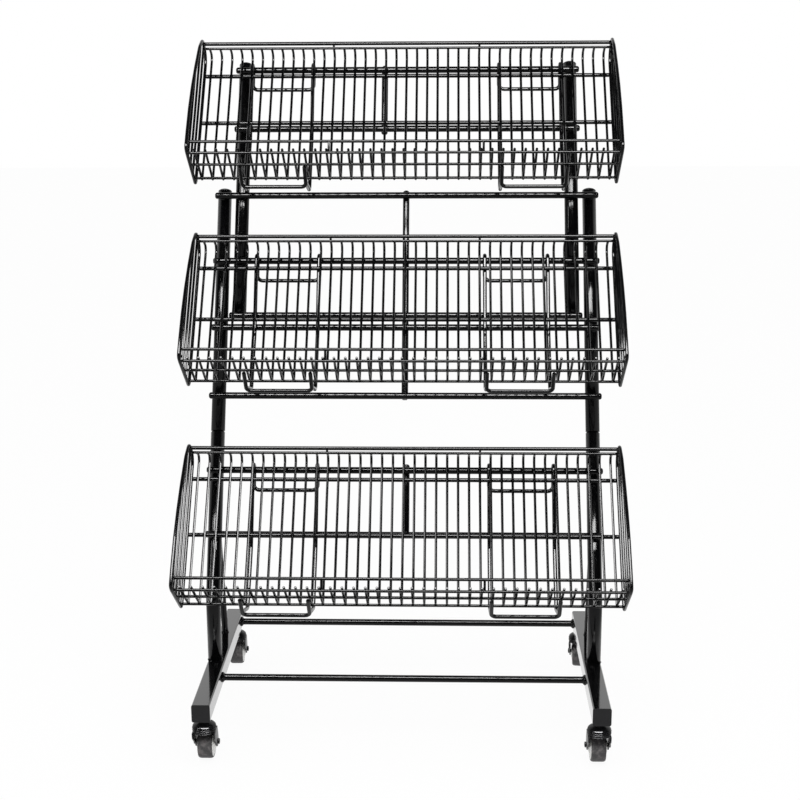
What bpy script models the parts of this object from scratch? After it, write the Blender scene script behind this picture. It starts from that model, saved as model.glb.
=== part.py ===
# Produce display rack: a leaning tube frame on four swivel castors that carries three
# wire baskets, one above the other, on rod brackets.
# Metres, +Z up. The front faces -Y. Every Y below is measured from the front ends of the
# legs, and the root empty at the end moves the whole rack over its base centre.
import math

import bmesh
import bpy
import numpy as np
from mathutils import Matrix, Vector

for old in list(bpy.data.objects):
    bpy.data.objects.remove(old, do_unlink=True)

# ---------------------------------------------------------------- general
CONTACT_GAP = 0.0003
LEAN_DEG = 24.4
LEAN_TAN = math.tan(math.radians(LEAN_DEG))
LEAN_COS = math.cos(math.radians(LEAN_DEG))
LEAN_SIN = math.sin(math.radians(LEAN_DEG))

# ---------------------------------------------------------------- castors
WHEEL_RADIUS = 0.0375
WHEEL_WIDTH = 0.0335
WHEEL_EDGE_ROUND = 0.0045
WHEEL_HUB_WIDTH = 0.0410
WHEEL_HUB_RADIUS = 0.0170
AXLE_RADIUS = 0.0042
AXLE_HEAD_RADIUS = 0.0066
AXLE_HEAD_THICKNESS = 0.0040
CASTOR_TRAIL = 0.0270
CASTOR_INSET = 0.0240
CASTOR_INWARD = 0.0030
FORK_CROWN_LOW = 0.0765
FORK_CROWN_HIGH = 0.0792
FORK_CROWN_RADIUS = 0.0262
FORK_RACE_HIGH = 0.0846
RACE_RADIUS = 0.0272
RACE_LOW = 0.0850
RACE_RIM_HIGH = 0.0915
RACE_HUB_RADIUS = 0.0110
STEM_RADIUS = 0.0060
STEM_TOP = 0.1240
CHEEK_THICKNESS = 0.0028
CHEEK_TOP_INSIDE = 0.0232
CHEEK_FOOT_INSIDE = 0.0224
CHEEK_FOOT_RADIUS = 0.0115
CHEEK_FRONT = -0.0190
CHEEK_BACK = 0.0225
FRONT_TURNS_DEG = (0.0, 0.0)
REAR_TURNS_DEG = (2.0, -8.0)

# ---------------------------------------------------------------- legs and base
LEG_WIDTH = 0.0410
LEG_WALL = 0.0025
LEG_LENGTH = 0.5650
LOW_BAR_LENGTH = 0.9335
LOW_BAR_OVERHANG = 0.01995
POST_X = LOW_BAR_LENGTH / 2 - LOW_BAR_OVERHANG
LEG_INWARD = 0.0038
LEG_CENTRE_X = POST_X - LEG_INWARD
CASTOR_X = LEG_CENTRE_X - CASTOR_INWARD
LEG_UNDER = 0.1075
LEG_TOP = LEG_UNDER + LEG_WIDTH
LEG_EDGE_ROUND = 0.0030
STEM_HOLE_RADIUS = STEM_RADIUS + CONTACT_GAP
CROSSBAR_RADIUS = 0.0080
BASE_FRONT_Y = 0.1950
BASE_REAR_INSET = 0.0332
BASE_CROSSBAR_YS = (BASE_FRONT_Y, LEG_LENGTH - BASE_REAR_INSET)
WELD_COLLAR_RADIUS = 0.0125
WELD_COLLAR_LENGTH = 0.0050

# ---------------------------------------------------------------- posts and bars
TUBE_RADIUS = 0.0167
TUBE_BORE_RADIUS = 0.0147
SPIGOT_RADIUS = TUBE_BORE_RADIUS - CONTACT_GAP
SPIGOT_BORE_RADIUS = 0.0124
SPIGOT_LENGTH = 0.0600
SPIGOT_SHOULDER = 0.0030
POST_BEND_Z = 0.3010
POST_BEND_RADIUS = 0.0550
POST_JOINT_Z = 0.6620
POST_TOP_Z = 1.2080
PLANE_Y = 0.3574
PLANE_Z = 0.6000
BAR_RADIUS = 0.0080
POST_DEPTH = TUBE_RADIUS + BAR_RADIUS + CONTACT_GAP
LOW_BAR_ZS = (1.2021, 1.0518, 0.9014, 0.7495, 0.5866, 0.4477)
UPPER_POST_INWARD = 0.0435
UPPER_POST_X = POST_X - UPPER_POST_INWARD
UPPER_POST_LOW_Z = 0.9130
UPPER_POST_TOP_Z = 1.5075
HIGH_BAR_OVERHANG = 0.0209
HIGH_BAR_LENGTH = 2 * (UPPER_POST_X + HIGH_BAR_OVERHANG)
HIGH_BAR_ZS = (1.4970, 1.3577, 0.9283)
CENTRE_BAR_DEPTH = BAR_RADIUS + BAR_RADIUS + CONTACT_GAP
CENTRE_BAR_RISE = 0.0080
CENTRE_BARS = (
    ("centre_bar_main", 0.0000, LOW_BAR_ZS[0], LOW_BAR_ZS[3], 0.0130),
    ("centre_bar_base", 0.0050, LOW_BAR_ZS[4], LOW_BAR_ZS[5], 0.0110),
    ("centre_bar_upper", -0.0550, HIGH_BAR_ZS[0], HIGH_BAR_ZS[1], 0.0145),
)
CAP_RIM = 0.0016
CAP_DOME = 0.0065
CAP_PLUG_DEPTH = 0.0140
CAP_PLUG_RADIUS = TUBE_BORE_RADIUS - CONTACT_GAP
BRACE_RADIUS = 0.0080
BRACE_FOOT_Y = 0.4120
BRACE_TOP_Z = 0.4800

# ---------------------------------------------------------------- baskets
PANEL_OUTWARD = 0.03225
PANEL_X = LOW_BAR_LENGTH / 2 + PANEL_OUTWARD
PANEL_MARGIN = 0.0164
WIRE_PITCH = 0.0254
WIRE_STEPS = round((PANEL_X - PANEL_MARGIN) / WIRE_PITCH)
WIRE_COUNT = 2 * WIRE_STEPS + 1
WIRE_RADIUS = 0.00275
WIRE_FLAT_HALF = 0.0029
WIRE_RIDGE = 0.0037
TRAY_DEG = 38.3
TRAY_SIN = math.sin(math.radians(TRAY_DEG))
TRAY_COS = math.cos(math.radians(TRAY_DEG))
FLOOR_RUN = 0.3600
RAIL_TOP = (0.1885, 0.3122)
RAIL_SECOND = (0.1889, 0.3010)
LIP_RUN = 0.1305
FLOOR_ROD_RUNS = (0.3044, 0.1665)
FLOOR_ROD_RADIUS = 0.0050
LIP_ROD_RUNS = (0.0178, 0.0760, 0.1247)
LIP_ROD_RADIUS = 0.0030
RAIL_TOP_RADIUS = 0.0046
RAIL_SECOND_RADIUS = 0.0033
GUARD = (-0.0940, 0.0976)
GUARD_RADIUS = 0.0036
LINK_STEPS = 7
LINK_WIRES = (WIRE_STEPS - LINK_STEPS, WIRE_STEPS + LINK_STEPS)
LINK_RADIUS = 0.0027
PANEL_RIM_RADIUS = 0.0040
PANEL_WIRE_RADIUS = 0.0029
PANEL_WIRE_RUNS = (0.0370, 0.0740, 0.1110)
PANEL_FLOOR_BELOW = 0.0070
PANEL_LIP_BELOW = 0.0076
PANEL_EDGE = (
    (0.1850, 0.3235), (0.1350, 0.3065), (0.0700, 0.2640), (0.0100, 0.2190),
    (-0.0420, 0.1720), (-0.0880, 0.1210), (-0.1165, 0.0860), (-0.1035, 0.0720),
)
RACK_U = 0.1142
HOOK_V = 0.2475
BASKETS = (
    ("top", HIGH_BAR_ZS[0] - HOOK_V),
    ("middle", LOW_BAR_ZS[1] - HOOK_V),
    ("bottom", LOW_BAR_ZS[4] - HOOK_V),
)

# ---------------------------------------------------------------- brackets
BRACKET_INWARD = {
    "top": (0.1393, 0.1443),
    "middle": (0.1623, 0.1803),
    "bottom": (0.1668, 0.1713),
}
BRACKET_XS = {
    name: (-(POST_X - left), POST_X - right) for name, (left, right) in BRACKET_INWARD.items()
}
BRACKET_HALF = 0.0755
BRACKET_RADIUS = 0.00475
BRACKET_FRONT = (-0.0330, -0.0130)
BRACKET_BEND = (0.0480, -0.0290)
BRACKET_KINK_V = 0.0800
BRACKET_BACK_DROP = 0.0420
BRACKET_CORNER = 0.0120
BRACKET_ARM = 0.0640

# ---------------------------------------------------------------- facet counts
TUBE_SIDES = 18
BAR_SIDES = 10
WHEEL_SIDES = 20
CASTOR_SIDES = 16
BRACKET_SIDES = 5
AXLE_SIDES = 8
COLLAR_SIDES = 12

MATERIALS = {}


def paint(name, color, metallic, roughness):
    """One Principled material of its own for the named piece."""
    made = bpy.data.materials.new(name)
    made.use_nodes = True
    shader = made.node_tree.nodes["Principled BSDF"]
    shader.inputs["Base Color"].default_value = (*color, 1.0)
    shader.inputs["Metallic"].default_value = metallic
    shader.inputs["Roughness"].default_value = roughness
    return made


FRAME_COAT = ((0.018, 0.018, 0.020), 0.0, 0.28)
BASKET_COAT = ((0.020, 0.020, 0.022), 0.0, 0.24)
CASTOR_STEEL = ((0.030, 0.030, 0.032), 0.6, 0.32)
CAP_PLASTIC = ((0.022, 0.022, 0.024), 0.0, 0.45)
TYRE_RUBBER = ((0.070, 0.068, 0.070), 0.0, 0.70)

ROOT = bpy.data.objects.new("rack_root", None)
bpy.context.collection.objects.link(ROOT)


def piece(name, verts, faces, look, parent=None, smooth=True):
    """A closed mesh object with outward faces, its own material and a parent empty."""
    mesh = bpy.data.meshes.new(name)
    mesh.from_pydata([tuple(v) for v in verts], [], faces)
    shape = bmesh.new()
    shape.from_mesh(mesh)
    bmesh.ops.recalc_face_normals(shape, faces=shape.faces)
    if shape.calc_volume(signed=True) < 0:
        bmesh.ops.reverse_faces(shape, faces=shape.faces)
    shape.to_mesh(mesh)
    shape.free()
    obj = bpy.data.objects.new(name, mesh)
    bpy.context.collection.objects.link(obj)
    finish(obj, look, smooth)
    obj.parent = parent or ROOT
    return obj


def finish(obj, look, smooth=True):
    obj.data.materials.clear()
    obj.data.materials.append(paint(obj.name + "_coat", *look))
    if smooth:
        obj.data.shade_smooth()
        obj.data.set_sharp_from_angle(angle=math.radians(SHARP_DEG))


SHARP_DEG = 50.0


# ---------------------------------------------------------------- shape helpers
def across(direction):
    """Two unit vectors square to a direction, the first one as level as it can be."""
    direction = direction.normalized()
    helper = Vector((0, 0, 1)) if abs(direction.z) < 1 / math.sqrt(2) else Vector((1, 0, 0))
    first = direction.cross(helper).normalized()
    return first, direction.cross(first).normalized()


def disc(direction, radius, sides, phase_share=0.0):
    """Offsets of a regular section square to a direction."""
    first, second = across(direction)
    found = []
    for i in range(sides):
        angle = math.tau * (i + phase_share) / sides
        found.append(first * (radius * math.cos(angle)) + second * (radius * math.sin(angle)))
    return found


def slid(point, along, through, normal):
    """The point moved along a direction until it meets a plane."""
    return point + along * ((through - point).dot(normal) / along.dot(normal))


def sweep(points, offsets, loop=False, first_normal=None, last_normal=None):
    """A section carried along a path with a mitre at each corner, as verts and faces."""
    points = [Vector(p) for p in points]
    count = len(points)
    steps = [(points[(i + 1) % count] - points[i]).normalized() for i in range(count)]
    rings = []
    if loop:
        normal = (steps[-1] + steps[0]).normalized()
        current = [slid(points[0] + o, steps[0], points[0], normal) for o in offsets]
    else:
        normal = first_normal or steps[0]
        current = [slid(points[0] + o, steps[0], points[0], normal) for o in offsets]
    rings.append(current)
    for i in range(1, count):
        last = i == count - 1 and not loop
        if last:
            normal = last_normal or steps[i - 1]
        else:
            normal = (steps[i - 1] + steps[i]).normalized()
        current = [slid(v, steps[i - 1], points[i], normal) for v in current]
        rings.append(current)
    return skin(rings, loop)


def skin(rings, loop=False):
    """Rings of equal size joined in order, with the two ends closed unless it is a loop."""
    size = len(rings[0])
    verts = [v for ring in rings for v in ring]
    faces = []
    for r in range(len(rings) - (0 if loop else 1)):
        low, high = r * size, ((r + 1) % len(rings)) * size
        for i in range(size):
            j = (i + 1) % size
            faces.append((low + i, low + j, high + j, high + i))
    if not loop:
        faces.append(tuple(reversed(range(size))))
        faces.append(tuple(range((len(rings) - 1) * size, len(rings) * size)))
    return verts, faces


def merged(parts):
    """Several closed shells in one list of verts and faces."""
    verts, faces = [], []
    for some_verts, some_faces in parts:
        base = len(verts)
        verts += list(some_verts)
        faces += [tuple(base + i for i in face) for face in some_faces]
    return verts, faces


def rounded(points, radius, steps, closed=False):
    """A polyline whose corners are replaced by short arcs."""
    points = [Vector(p) for p in points]
    count = len(points)
    made = []
    for i in range(count):
        if not closed and i in (0, count - 1):
            made.append(points[i])
            continue
        here = points[i]
        into = (here - points[i - 1]).normalized()
        away = (points[(i + 1) % count] - here).normalized()
        turn = into.angle(away)
        if turn < math.radians(LEAST_TURN_DEG):
            made.append(here)
            continue
        reach = radius * math.tan(turn / 2)
        room = min((here - points[i - 1]).length, (points[(i + 1) % count] - here).length)
        reach = min(reach, room * MOST_REACH_SHARE)
        bend = reach / math.tan(turn / 2)
        start = here - into * reach
        inward = (away - into * away.dot(into)).normalized()
        centre = start + inward * bend
        for s in range(steps + 1):
            angle = turn * s / steps
            made.append(centre - inward * (bend * math.cos(angle)) + into * (bend * math.sin(angle)))
    return made


LEAST_TURN_DEG = 30.0
MOST_REACH_SHARE = 0.46


def revolved(profile, base, direction, sides, ring=False):
    """A profile of (radius, height) turned about an axis; a ring profile closes on itself."""
    direction = Vector(direction).normalized()
    base = Vector(base)
    rings = []
    for radius, height in profile:
        rings.append([base + direction * height + o for o in disc(direction, radius, sides)])
    return skin(rings, ring)


def bar(start, end, radius, sides):
    """A straight round bar with softly rounded ends."""
    start, end = Vector(start), Vector(end)
    length = (end - start).length
    soft = radius * BAR_SOFT_SHARE
    tip = radius * BAR_TIP_SHARE
    profile = ((tip, 0), (radius, soft), (radius, length - soft), (tip, length))
    return revolved(profile, start, end - start, sides)


BAR_SOFT_SHARE = 0.30
BAR_TIP_SHARE = 0.70


def united(obj, other, operation="UNION"):
    """The first object with the second one joined to it or cut from it, as one mesh."""
    other.hide_render = True
    other.display_type = "WIRE"
    change = obj.modifiers.new("join", "BOOLEAN")
    change.operation = operation
    change.solver = "EXACT"
    change.object = other
    bpy.context.view_layer.update()
    graph = bpy.context.evaluated_depsgraph_get()
    made = bpy.data.meshes.new_from_object(obj.evaluated_get(graph))
    obj.modifiers.clear()
    obj.data = made
    bpy.data.objects.remove(other, do_unlink=True)
    return obj


def scratch(verts, faces):
    return piece("scratch", verts, faces, FRAME_COAT, smooth=False)


# ---------------------------------------------------------------- the leaning plane
def plane_y(z):
    """Y of the bars' leaning centre plane at a height."""
    return PLANE_Y + LEAN_TAN * (z - PLANE_Z)


def behind(z, depth):
    """Y of a line parallel to the plane, a square depth behind it, at a height."""
    return plane_y(z) + depth / LEAN_COS


UP_THE_PLANE = Vector((0, LEAN_SIN, LEAN_COS))

# ---------------------------------------------------------------- legs
def leg(name, x):
    half = LEG_WIDTH / 2
    inset = half - LEG_EDGE_ROUND
    corner = []
    for sx, sz in ((1, 1), (-1, 1), (-1, -1), (1, -1)):
        a = Vector((x + sx * half, 0, LEG_UNDER + half + sz * inset))
        b = Vector((x + sx * inset, 0, LEG_UNDER + half + sz * half))
        corner += [a, b] if sx * sz > 0 else [b, a]
    back = [v + Vector((0, LEG_LENGTH, 0)) for v in corner]
    obj = piece(name, *skin([corner, back]), FRAME_COAT)
    inner = half - LEG_WALL
    hollow = []
    for y in (LEG_WALL, LEG_LENGTH - LEG_WALL):
        hollow.append([
            Vector((x + sx * inner, y, LEG_UNDER + half + sz * inner))
            for sx, sz in ((1, 1), (-1, 1), (-1, -1), (1, -1))
        ])
    tools = [skin(hollow)]
    for y in (CASTOR_INSET, LEG_LENGTH - CASTOR_INSET):
        low = Vector((math.copysign(CASTOR_X, x), y, LEG_UNDER - LEG_WALL))
        tools.append(revolved(
            ((STEM_HOLE_RADIUS, 0), (STEM_HOLE_RADIUS, half)), low, (0, 0, 1), CASTOR_SIDES))
    for verts, faces in tools:
        united(obj, scratch(verts, faces), "DIFFERENCE")
    finish(obj, FRAME_COAT)
    return obj


leg("leg_left", -LEG_CENTRE_X)
leg("leg_right", LEG_CENTRE_X)

for name, y in zip(("base_crossbar_front", "base_crossbar_rear"), BASE_CROSSBAR_YS):
    reach = LEG_CENTRE_X - LEG_WIDTH / 2 - CONTACT_GAP
    z = LEG_UNDER + LEG_WIDTH / 2
    collar, length = WELD_COLLAR_RADIUS, WELD_COLLAR_LENGTH
    profile = (
        (collar, 0), (CROSSBAR_RADIUS, length), (CROSSBAR_RADIUS, reach + reach - length),
        (collar, reach + reach))
    piece(name, *revolved(profile, (-reach, y, z), (1, 0, 0), COLLAR_SIDES), FRAME_COAT)


# ---------------------------------------------------------------- posts
def tube_rings(points, radii, sides):
    """Mitred rings along a path whose radius may change from point to point."""
    points = [Vector(p) for p in points]
    unit = disc(points[1] - points[0], 1.0, sides)
    rings = []
    directions = [(points[i + 1] - points[i]).normalized() for i in range(len(points) - 1)]
    side = unit
    for i, point in enumerate(points):
        into = directions[max(i - 1, 0)]
        away = directions[min(i, len(directions) - 1)]
        normal = (into + away).normalized()
        turned = into.rotation_difference(away)
        rings.append([slid(point + o * radii[i], into, point, normal) for o in side])
        side = [turned @ o for o in side]
    return rings


def hollow_tube(name, outer, inner):
    """A tube open at both ends from rings of its outside and of its bore."""
    verts = [v for ring in outer + inner for v in ring]
    size = len(outer[0])
    faces = []
    shift = len(outer) * size
    for rings, base in ((outer, 0), (inner, shift)):
        for r in range(len(rings) - 1):
            low, high = base + r * size, base + (r + 1) * size
            for i in range(size):
                j = (i + 1) % size
                face = (low + i, low + j, high + j, high + i)
                faces.append(face if base == 0 else face[::-1])
    ends = ((0, shift), ((len(outer) - 1) * size, shift + (len(inner) - 1) * size))
    for n, (a, b) in enumerate(ends):
        for i in range(size):
            j = (i + 1) % size
            face = (a + i, b + i, b + j, a + j)
            faces.append(face if n == 0 else face[::-1])
    return piece(name, verts, faces, FRAME_COAT)


def base_post(name, x):
    foot = Vector((x, behind(POST_BEND_Z, POST_DEPTH), LEG_TOP + CONTACT_GAP))
    bend = Vector((x, behind(POST_BEND_Z, POST_DEPTH), POST_BEND_Z))
    joint = Vector((x, behind(POST_JOINT_Z, POST_DEPTH), POST_JOINT_Z))
    path = rounded([foot, bend, joint], POST_BEND_RADIUS, POST_BEND_STEPS)
    shoulder = joint + UP_THE_PLANE * SPIGOT_SHOULDER
    tip = joint + UP_THE_PLANE * SPIGOT_LENGTH
    outer_path = path + [shoulder, tip]
    outer_radii = [TUBE_RADIUS] * len(path) + [SPIGOT_RADIUS, SPIGOT_RADIUS]
    low = joint - UP_THE_PLANE * SPIGOT_SHOULDER
    inner_path = path[:-1] + [low, joint, tip]
    inner_radii = [TUBE_BORE_RADIUS] * len(path) + [SPIGOT_BORE_RADIUS, SPIGOT_BORE_RADIUS]
    return hollow_tube(
        name, tube_rings(outer_path, outer_radii, TUBE_SIDES),
        tube_rings(inner_path, inner_radii, TUBE_SIDES))


def straight_tube(name, x, low_z, high_z):
    ends = [Vector((x, behind(z, POST_DEPTH), z)) for z in (low_z, high_z)]
    outer = tube_rings(ends, [TUBE_RADIUS] * 2, TUBE_SIDES)
    inner = tube_rings(ends, [TUBE_BORE_RADIUS] * 2, TUBE_SIDES)
    return hollow_tube(name, outer, inner)


def dome_cap(name, x, high_z):
    """A domed plug that closes a tube's upper end."""
    base = Vector((x, behind(high_z, POST_DEPTH), high_z)) + UP_THE_PLANE * CONTACT_GAP
    profile = (
        (CAP_PLUG_RADIUS, -CAP_PLUG_DEPTH), (CAP_PLUG_RADIUS, 0),
        (TUBE_RADIUS, 0), (TUBE_RADIUS, CAP_RIM),
        (TUBE_RADIUS * CAP_SHOULDER_SHARE, CAP_DOME * CAP_SHOULDER_SHARE),
        (TUBE_RADIUS * CAP_CROWN_SHARE, CAP_DOME))
    return piece(name, *revolved(profile, base, UP_THE_PLANE, TUBE_SIDES), CAP_PLASTIC)


POST_BEND_STEPS = 2
CAP_SHOULDER_SHARE = 0.78
CAP_CROWN_SHARE = 0.30
MAIN_LOW_Z = POST_JOINT_Z + (SPIGOT_SHOULDER + CONTACT_GAP) * LEAN_COS

for side, sign in (("left", -1), ("right", 1)):
    base_post(f"base_post_{side}", sign * POST_X)
    straight_tube(f"main_upright_{side}", sign * POST_X, MAIN_LOW_Z, POST_TOP_Z)
    straight_tube(f"upper_upright_{side}", sign * UPPER_POST_X, UPPER_POST_LOW_Z, UPPER_POST_TOP_Z)
    dome_cap(f"main_cap_{side}", sign * POST_X, POST_TOP_Z)
    dome_cap(f"upper_cap_{side}", sign * UPPER_POST_X, UPPER_POST_TOP_Z)


# ---------------------------------------------------------------- bars
for number, z in enumerate(LOW_BAR_ZS, 1):
    half = LOW_BAR_LENGTH / 2
    shape = bar((-half, plane_y(z), z), (half, plane_y(z), z), BAR_RADIUS, BAR_SIDES)
    piece(f"crossbar_{number}", *shape, FRAME_COAT)
for number, z in enumerate(HIGH_BAR_ZS, 1):
    half = HIGH_BAR_LENGTH / 2
    shape = bar((-half, plane_y(z), z), (half, plane_y(z), z), BAR_RADIUS, BAR_SIDES)
    piece(f"upper_crossbar_{number}", *shape, FRAME_COAT)
for name, x, top_z, low_z, overrun in CENTRE_BARS:
    high, low = top_z + CENTRE_BAR_RISE, low_z - overrun
    ends = [Vector((x, behind(z, CENTRE_BAR_DEPTH), z)) for z in (low, high)]
    piece(name, *bar(ends[0], ends[1], BAR_RADIUS, BAR_SIDES), FRAME_COAT)


# ---------------------------------------------------------------- braces
def brace(name, x):
    """A round strut from the leg's top to the back of the post, cut to lie on both."""
    foot = Vector((x, BRACE_FOOT_Y, LEG_TOP + CONTACT_GAP))
    wall = Vector((x, behind(BRACE_TOP_Z, POST_DEPTH + TUBE_RADIUS + CONTACT_GAP), BRACE_TOP_Z))
    direction = (wall - foot).normalized()
    offsets = disc(direction, BRACE_RADIUS, BAR_SIDES)
    rear_normal = Vector((0, LEAN_COS, -LEAN_SIN))
    up = Vector((0, 0, 1))
    return piece(
        name, *sweep([foot, wall], offsets, first_normal=up, last_normal=rear_normal), FRAME_COAT)


brace("brace_left", -POST_X)
brace("brace_right", POST_X)


# ---------------------------------------------------------------- castors
def castor(name, x, y, turn_deg):
    """A stem castor: race under the leg, fork that swivels, axle and wheel that spins."""
    race = (
        (RACE_RADIUS * RACE_BORE_SHARE, RACE_LOW), (RACE_RADIUS, RACE_LOW + RACE_SOFT),
        (RACE_RADIUS, RACE_RIM_HIGH - RACE_SOFT), (RACE_HUB_RADIUS, LEG_UNDER - RACE_NECK),
        (RACE_HUB_RADIUS, LEG_UNDER - CONTACT_GAP), (STEM_RADIUS, LEG_UNDER - CONTACT_GAP),
        (STEM_RADIUS, STEM_TOP))
    piece(f"{name}_race", *revolved(race, (x, y, 0), (0, 0, 1), CASTOR_SIDES), CASTOR_STEEL)

    swivel = bpy.data.objects.new(f"{name}_swivel", None)
    bpy.context.collection.objects.link(swivel)
    swivel.parent = ROOT
    swivel.location = (x, y, 0)
    swivel.rotation_euler = (0, 0, math.radians(turn_deg))

    crown = (
        (FORK_CROWN_RADIUS, FORK_CROWN_LOW), (FORK_CROWN_RADIUS, FORK_CROWN_HIGH),
        (RACE_RADIUS, FORK_CROWN_HIGH + RACE_SOFT), (RACE_RADIUS, FORK_RACE_HIGH - RACE_SOFT),
        (RACE_RADIUS * RACE_BORE_SHARE, FORK_RACE_HIGH))
    fork = piece(
        f"{name}_fork", *revolved(crown, (0, 0, 0), (0, 0, 1), CASTOR_SIDES), CASTOR_STEEL,
        parent=swivel)
    outline = [(CHEEK_FRONT, CHEEK_HIGH), (CHEEK_FRONT, CHEEK_SHOULDER)]
    for i in range(CHEEK_FOOT_STEPS + 1):
        angle = math.radians(CHEEK_FOOT_START_DEG) + i * math.radians(
            CHEEK_FOOT_SWEEP_DEG) / CHEEK_FOOT_STEPS
        outline.append((
            CASTOR_TRAIL + CHEEK_FOOT_RADIUS * math.cos(angle),
            WHEEL_RADIUS + CHEEK_FOOT_RADIUS * math.sin(angle)))
    outline += [(CHEEK_BACK + CHEEK_FLARE, CHEEK_SHOULDER), (CHEEK_BACK, CHEEK_HIGH)]
    slope = (CHEEK_TOP_INSIDE - CHEEK_FOOT_INSIDE) / (FORK_CROWN_LOW - WHEEL_RADIUS)
    for sign in (-1, 1):
        rings = []
        for depth in (0, CHEEK_THICKNESS):
            rings.append([
                Vector((sign * (CHEEK_FOOT_INSIDE + slope * (z - WHEEL_RADIUS) + depth), y_at, z))
                for y_at, z in outline])
        united(fork, local_scratch(swivel, *skin(rings)))
    hole = revolved(
        ((AXLE_RADIUS + CONTACT_GAP, -RACE_RADIUS), (AXLE_RADIUS + CONTACT_GAP, RACE_RADIUS)),
        (0, CASTOR_TRAIL, WHEEL_RADIUS), (1, 0, 0), AXLE_SIDES)
    united(fork, local_scratch(swivel, *hole), "DIFFERENCE")
    finish(fork, CASTOR_STEEL)

    outside = CHEEK_FOOT_INSIDE + CHEEK_THICKNESS + slope * AXLE_HEAD_RADIUS + CONTACT_GAP
    end = outside + AXLE_HEAD_THICKNESS
    bolt = (
        (AXLE_HEAD_RADIUS, -end), (AXLE_HEAD_RADIUS, -outside), (AXLE_RADIUS, -outside),
        (AXLE_RADIUS, outside), (AXLE_HEAD_RADIUS, outside), (AXLE_HEAD_RADIUS, end))
    piece(
        f"{name}_axle", *revolved(bolt, (0, CASTOR_TRAIL, WHEEL_RADIUS), (1, 0, 0), AXLE_SIDES),
        CASTOR_STEEL, parent=swivel)

    spin = bpy.data.objects.new(f"{name}_spin", None)
    bpy.context.collection.objects.link(spin)
    spin.parent = swivel
    spin.location = (0, CASTOR_TRAIL, WHEEL_RADIUS)
    half = WHEEL_WIDTH / 2
    hub = WHEEL_HUB_WIDTH / 2
    bore = AXLE_RADIUS + CONTACT_GAP
    edge = WHEEL_EDGE_ROUND
    tyre = (
        (bore, -hub), (WHEEL_HUB_RADIUS, -hub), (WHEEL_RADIUS - edge, -half),
        (WHEEL_RADIUS, edge - half), (WHEEL_RADIUS, half - edge), (WHEEL_RADIUS - edge, half),
        (WHEEL_HUB_RADIUS, hub), (bore, hub))
    piece(
        f"{name}_wheel", *revolved(tyre, (0, 0, 0), (1, 0, 0), WHEEL_SIDES, ring=True),
        TYRE_RUBBER, parent=spin)


RACE_BORE_SHARE = 0.88
RACE_SOFT = 0.0012
RACE_NECK = 0.0060
CHEEK_HIGH = 0.0780
CHEEK_SHOULDER = 0.0640
CHEEK_FLARE = 0.0060
CHEEK_FOOT_START_DEG = 200.0
CHEEK_FOOT_SWEEP_DEG = 165.0
CHEEK_FOOT_STEPS = 5


def local_scratch(parent, verts, faces):
    """A helper shape given in the frame of a parent empty."""
    obj = scratch(verts, faces)
    obj.parent = parent
    return obj


for end, y, turns in (
    ("front", CASTOR_INSET, FRONT_TURNS_DEG),
    ("rear", LEG_LENGTH - CASTOR_INSET, REAR_TURNS_DEG),
):
    castor(f"castor_{end}_left", -CASTOR_X, y, turns[0])
    castor(f"castor_{end}_right", CASTOR_X, y, turns[1])


# ---------------------------------------------------------------- basket section
# Basket sections use u, back from the lowest fold, and v, up from it.
def on_floor(run, below=0.0):
    """A point up the sloping floor, a square distance below it."""
    return (run * TRAY_SIN + below * TRAY_COS, run * TRAY_COS - below * TRAY_SIN)


def on_lip(run, below=0.0):
    """A point out along the front lip, a square distance below it."""
    return (-run * TRAY_COS - below * TRAY_SIN, run * TRAY_SIN - below * TRAY_COS)


def lengthwise(uv, reach, sides, half, toward, phase_share=0.0):
    """A rod along X with an edge, or at half phase a flat, that faces the given way."""
    direction = Vector((0, *toward)).normalized()
    other = Vector((1, 0, 0)).cross(direction)
    rings = []
    for x in (-half, half):
        rings.append([
            Vector((x, *uv)) + direction * (reach * math.cos(math.tau * (i + phase_share) / sides))
            + other * (reach * math.sin(math.tau * (i + phase_share) / sides))
            for i in range(sides)])
    return skin(rings)


HALF = 0.5


def rod_between(x, low_uv, high_uv, radius, sides):
    low, high = Vector((x, *low_uv)), Vector((x, *high_uv))
    return sweep([low, high], disc(high - low, radius, sides, HALF))


MESH_HALF = PANEL_X - PANEL_RIM_RADIUS - CONTACT_GAP
BELOW_FLOOR = (-TRAY_COS, TRAY_SIN)
BELOW_LIP = (TRAY_SIN, TRAY_COS)


def basket_rods():
    made = []
    for run in FLOOR_ROD_RUNS:
        uv = on_floor(run, WIRE_RADIUS + FLOOR_ROD_RADIUS)
        made.append(lengthwise(
            uv, FLOOR_ROD_RADIUS * SIX_SIDE_SHARE, ROD_SIDES, MESH_HALF, BELOW_FLOOR))
    for run in LIP_ROD_RUNS:
        uv = on_lip(run, WIRE_RADIUS + LIP_ROD_RADIUS)
        made.append(lengthwise(
            uv, LIP_ROD_RADIUS * FOUR_SIDE_SHARE, THIN_ROD_SIDES, MESH_HALF, BELOW_LIP))
    made.append(lengthwise(
        RAIL_TOP, RAIL_TOP_RADIUS * SIX_SIDE_SHARE, ROD_SIDES, MESH_HALF, (0, 1)))
    curl = (on_floor(FLOOR_RUN)[0] - RAIL_SECOND[0], on_floor(FLOOR_RUN)[1] - RAIL_SECOND[1])
    made.append(lengthwise(
        RAIL_SECOND, RAIL_SECOND_RADIUS * CORNER_SHARE, THIN_ROD_SIDES, MESH_HALF, curl, HALF))
    made.append(lengthwise(
        GUARD, GUARD_RADIUS * SIX_SIDE_SHARE, ROD_SIDES, MESH_HALF, (0, 1)))
    return merged(made)


ROD_SIDES = 6
THIN_ROD_SIDES = 4
SIX_SIDE_SHARE = 1.03
FOUR_SIDE_SHARE = 1.12
CORNER_SHARE = 1.38
WIRE_END_SHARE = 0.80


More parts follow.
